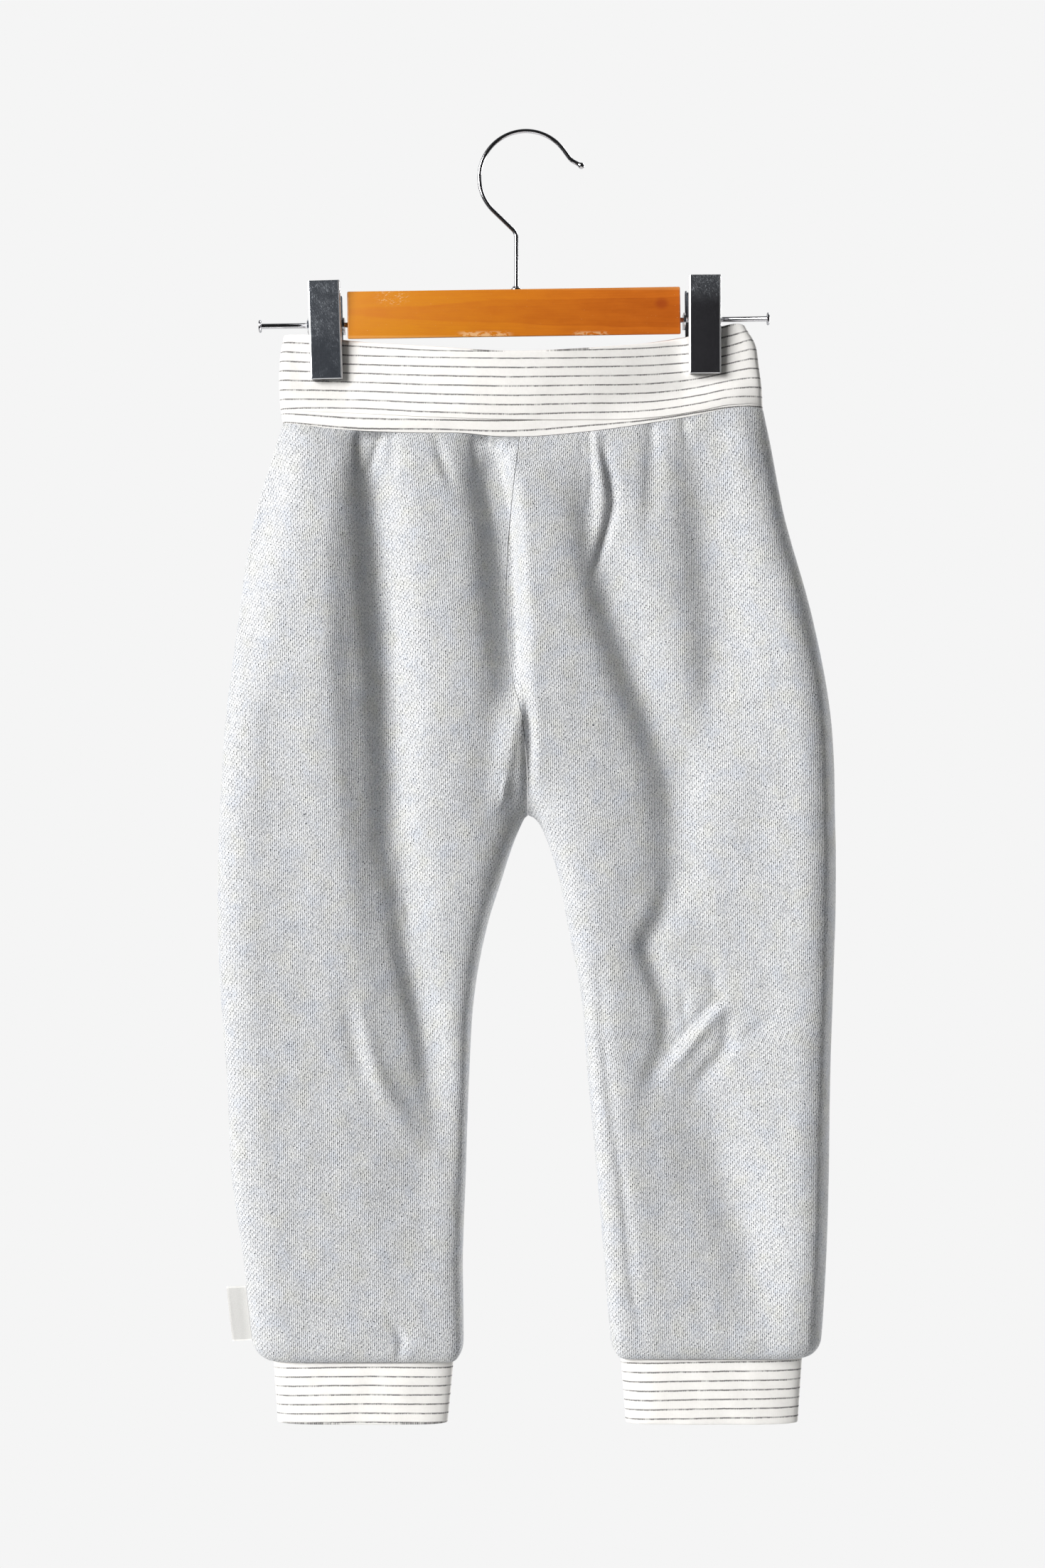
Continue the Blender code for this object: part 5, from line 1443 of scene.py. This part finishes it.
def make_jaw(clip, face, ear_x, shift, above, material):
    """A jaw: its channel and two ears about the rod, with a tab across if they stand outside it."""
    name = f"{clip.name}_{'front' if face == FRONT else 'back'}_jaw"
    plate = face * (PINCH_HALF + GAP + JAW["below_rod"] * math.sin(math.radians(JAW["lean"]))
                    + JAW["channel"] - JAW["ear_sink"])
    sheet = JAW["sheet"]
    pieces = [channel(name + " channel", face, above, material)]
    for hand in (-1, 1):
        inside, outside = sorted((hand * ear_x, hand * (ear_x + sheet)))
        pieces.append(make_ear(f"{name} ear {hand}", face, inside, outside, plate, material))
    if ear_x > JAW["width"] / 2:
        bm = bmesh.new()
        low_y, high_y = sorted((plate, plate + face * JAW["tab"]))
        size = [2 * (ear_x + sheet) * MM, (high_y - low_y) * MM, 2 * JAW["ear_radius"] * MM, 1.0]
        matrix = Matrix.Translation((0.0, (low_y + high_y) / 2 * MM, 0.0)) @ Matrix.Diagonal(size)
        bmesh.ops.create_cube(bm, size=1.0, matrix=matrix)
        bmesh.ops.bevel(bm, geom=list(bm.edges), offset=JAW["tab_edge"] * MM, segments=2, affect="EDGES")
        pieces.append(object_of(name + " tab", bm, material))
    jaw = smoothed(joined(name, pieces, material), 38)
    x = clip.x + shift
    return place(jaw, tilted(x, rod_down(x), clip.tilt))


def make_spring(clip, tree):
    """The clip's coil, round the rod between the jaws' ears."""
    name = clip.name + "_spring_coil"
    spring = linked(name, bpy.data.meshes.new(name))
    wire = SPRING["wire"]
    length = SPRING["length"] - 2 * wire
    spring.matrix_world = (tilted(clip.x, rod_down(clip.x), HANGER_TILT + 90.0)
                           @ Matrix.Translation((0.0, 0.0, -length / 2 * MM)))
    return grown(spring, tree, {"Turns": SPRING["turns"], "Radius": (SPRING["outer"] - wire) * MM,
                                "Length": length * MM, "Wire": wire * MM})


def make_neps(panels, tree):
    """Lint on the outsides of the leg panels."""
    made = []
    for number, panel in enumerate(panels):
        name = panel.name.replace("_panel", "_neps")
        cloth = panel.data.copy()
        bm = bmesh.new()
        bm.from_mesh(cloth)
        outward = -1.0 if "front" in name else 1.0
        turned_away = [face for face in bm.faces if face.normal.y * outward < 0.35]
        bmesh.ops.delete(bm, geom=turned_away, context="FACES")
        bm.to_mesh(cloth)
        bm.free()
        sizes = {"Density": NEPS_PER_SQUARE_METRE, "Size": NEP_RADIUS * MM, "Seed": 11 + number}
        made.append(grown(linked(name, cloth), tree, sizes))
    return made


# ---------------------------------------------------------------- studio

# The studio's own lengths are in metres
CAMERA_PLACE = (-0.00205, -1.2796, -0.3825)
FLOOR_RADIUS = 1.2
FLOOR_MIDDLE = -1.31
FLOOR_THICK = 0.02
Lamp = namedtuple("Lamp", "name azimuth elevation distance size power")
LAMPS = (Lamp("key light", -52.0, 20.0, 5.0, 3.0, 444.0),
         Lamp("rim light", 125.0, 8.0, 3.5, 1.4, 90.0),
         Lamp("back light", 135.0, 40.0, 4.0, 1.6, 40.0))
LAMPS_AIM = (0.0, 0.0, -0.42)
# The light of the room, which the camera itself sees as plain pale: how far it is from behind the
# camera (0) to beyond the garment (1), and how bright it is there
ROOM_LEVELS = ((0.04, 0.01), (0.35, 0.03), (0.52, 0.05), (0.66, 0.2), (0.82, 0.55))


def make_studio():
    """The camera, three soft lamps, the pale room and its floor."""
    scene = bpy.context.scene
    scene.view_settings.view_transform = "Standard"
    camera_data = bpy.data.cameras.new("camera")
    camera_data.lens = 50.0
    camera_data.sensor_width = 36.0
    camera = linked("camera", camera_data)
    camera.location = CAMERA_PLACE
    camera.rotation_euler = (math.pi / 2, 0.0, 0.0)
    scene.camera = camera

    for lamp in LAMPS:
        a, e = math.radians(lamp.azimuth), math.radians(lamp.elevation)
        back = Vector((math.sin(a) * math.cos(e), -math.cos(a) * math.cos(e), math.sin(e)))
        data = bpy.data.lights.new(lamp.name, "AREA")
        data.shape = "DISK"
        data.size = lamp.size
        data.energy = lamp.power
        light = linked(lamp.name, data)
        light.location = Vector(LAMPS_AIM) + back * lamp.distance
        light.rotation_mode = "QUATERNION"
        light.rotation_quaternion = back.to_track_quat("Z", "Y")

    world = bpy.data.worlds.new("studio")
    scene.world = world
    world.use_nodes = True
    tree = world.node_tree
    where = tree.nodes.new("ShaderNodeTexCoord")
    facing = tree.nodes.new("ShaderNodeSeparateXYZ")
    ramp = tree.nodes.new("ShaderNodeValToRGB")
    for position, _ in ROOM_LEVELS[2:]:
        ramp.color_ramp.elements.new(position)
    for element, (position, level) in zip(ramp.color_ramp.elements, ROOM_LEVELS):
        element.position = position
        element.color = (level * 0.985, level * 1.01, level * 1.03, 1.0)
    shift = tree.nodes.new("ShaderNodeMapRange")
    shift.inputs[1].default_value = -1.0
    tree.links.new(where.outputs["Generated"], facing.inputs[0])
    tree.links.new(facing.outputs["Y"], shift.inputs[0])
    tree.links.new(shift.outputs[0], ramp.inputs[0])
    seen = tree.nodes.new("ShaderNodeLightPath")
    choose = tree.nodes.new("ShaderNodeMix")
    choose.data_type = "RGBA"
    choose.inputs[7].default_value = srgb(245, 245, 245)
    tree.links.new(seen.outputs["Is Camera Ray"], choose.inputs[0])
    tree.links.new(ramp.outputs[0], choose.inputs[6])
    background = tree.nodes["Background"]
    tree.links.new(choose.outputs[2], background.inputs[0])
    background.inputs[1].default_value = 1.0

    bm = bmesh.new()
    bmesh.ops.create_cone(bm, cap_ends=True, segments=96, radius1=FLOOR_RADIUS, radius2=FLOOR_RADIUS,
                          depth=FLOOR_THICK, matrix=Matrix.Translation((0.0, 0.0, FLOOR_MIDDLE)))
    floor_look = Shader("pale_floor")
    floor_look.set(Base_Color=srgb(236, 236, 236), Roughness=0.8)
    object_of("floor", bm, floor_look.material)


# ---------------------------------------------------------------- whole

def adopt(piece, slot_name, *nodes):
    """The piece stands for its CAD nodes, which are hidden, and moves with the one body; slot_name is not
    used.
    """
    if nodes:
        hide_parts(*nodes)
    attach(piece, "root")


def main():
    """Makes every piece, hides the CAD nodes each one stands for, and lights them."""
    sweat, rib, tape = sweat_cloth(), rib_jersey(), label_tape()
    wood = varnished_wood()
    chrome = polished_metal("chrome", srgb(206, 205, 208), 0.12, 0.08)
    dark = dark_plate()

    panels = make_leg_panels(sweat)
    neps = make_neps(panels, nep_tree(nep_yarn()))
    band = make_waistband(rib)
    cuffs = make_cuffs(rib)
    label = make_label(tape)
    hook, collar, bar, rod = make_hook(chrome), make_collar(chrome), make_bar(wood), make_rod(chrome)

    for panel, lot in zip(panels, neps):
        node = panel.name.replace("_panel", "")
        adopt(panel, "sweat_cloth", *[f"{node}_{length}" for length in ("hip", "thigh", "calf")])
        adopt(lot, "sweat_cloth")
    adopt(band, "rib_jersey", "waistband")
    for cuff in cuffs:
        node = cuff.name.replace("_rib", "")
        adopt(cuff, "rib_jersey", node)
    adopt(label, "label_tape", "side_label")
    adopt(hook, "chrome", "hanger_hook")
    adopt(collar, "chrome", "hook_collar")
    adopt(bar, "varnished_wood", "hanger_bar")
    adopt(rod, "chrome", "hanger_rod")

    inner_ear = JAW["width"] / 2 - 2 * JAW["sheet"] - GAP
    outer_ear = JAW["width"] / 2 + GAP
    coil = spring_tree(chrome)
    for clip in CLIPS:
        front = make_jaw(clip, FRONT, inner_ear, 0.0, JAW["above_rod"], dark)
        adopt(front, "dark_chrome", clip.name + "_front")
        back = make_jaw(clip, BACK, outer_ear, clip.rear_shift, JAW["rear_above_rod"], dark)
        adopt(back, "dark_chrome", clip.name + "_back")
        adopt(make_spring(clip, coil), "chrome", clip.name + "_spring")
    make_studio()


main()
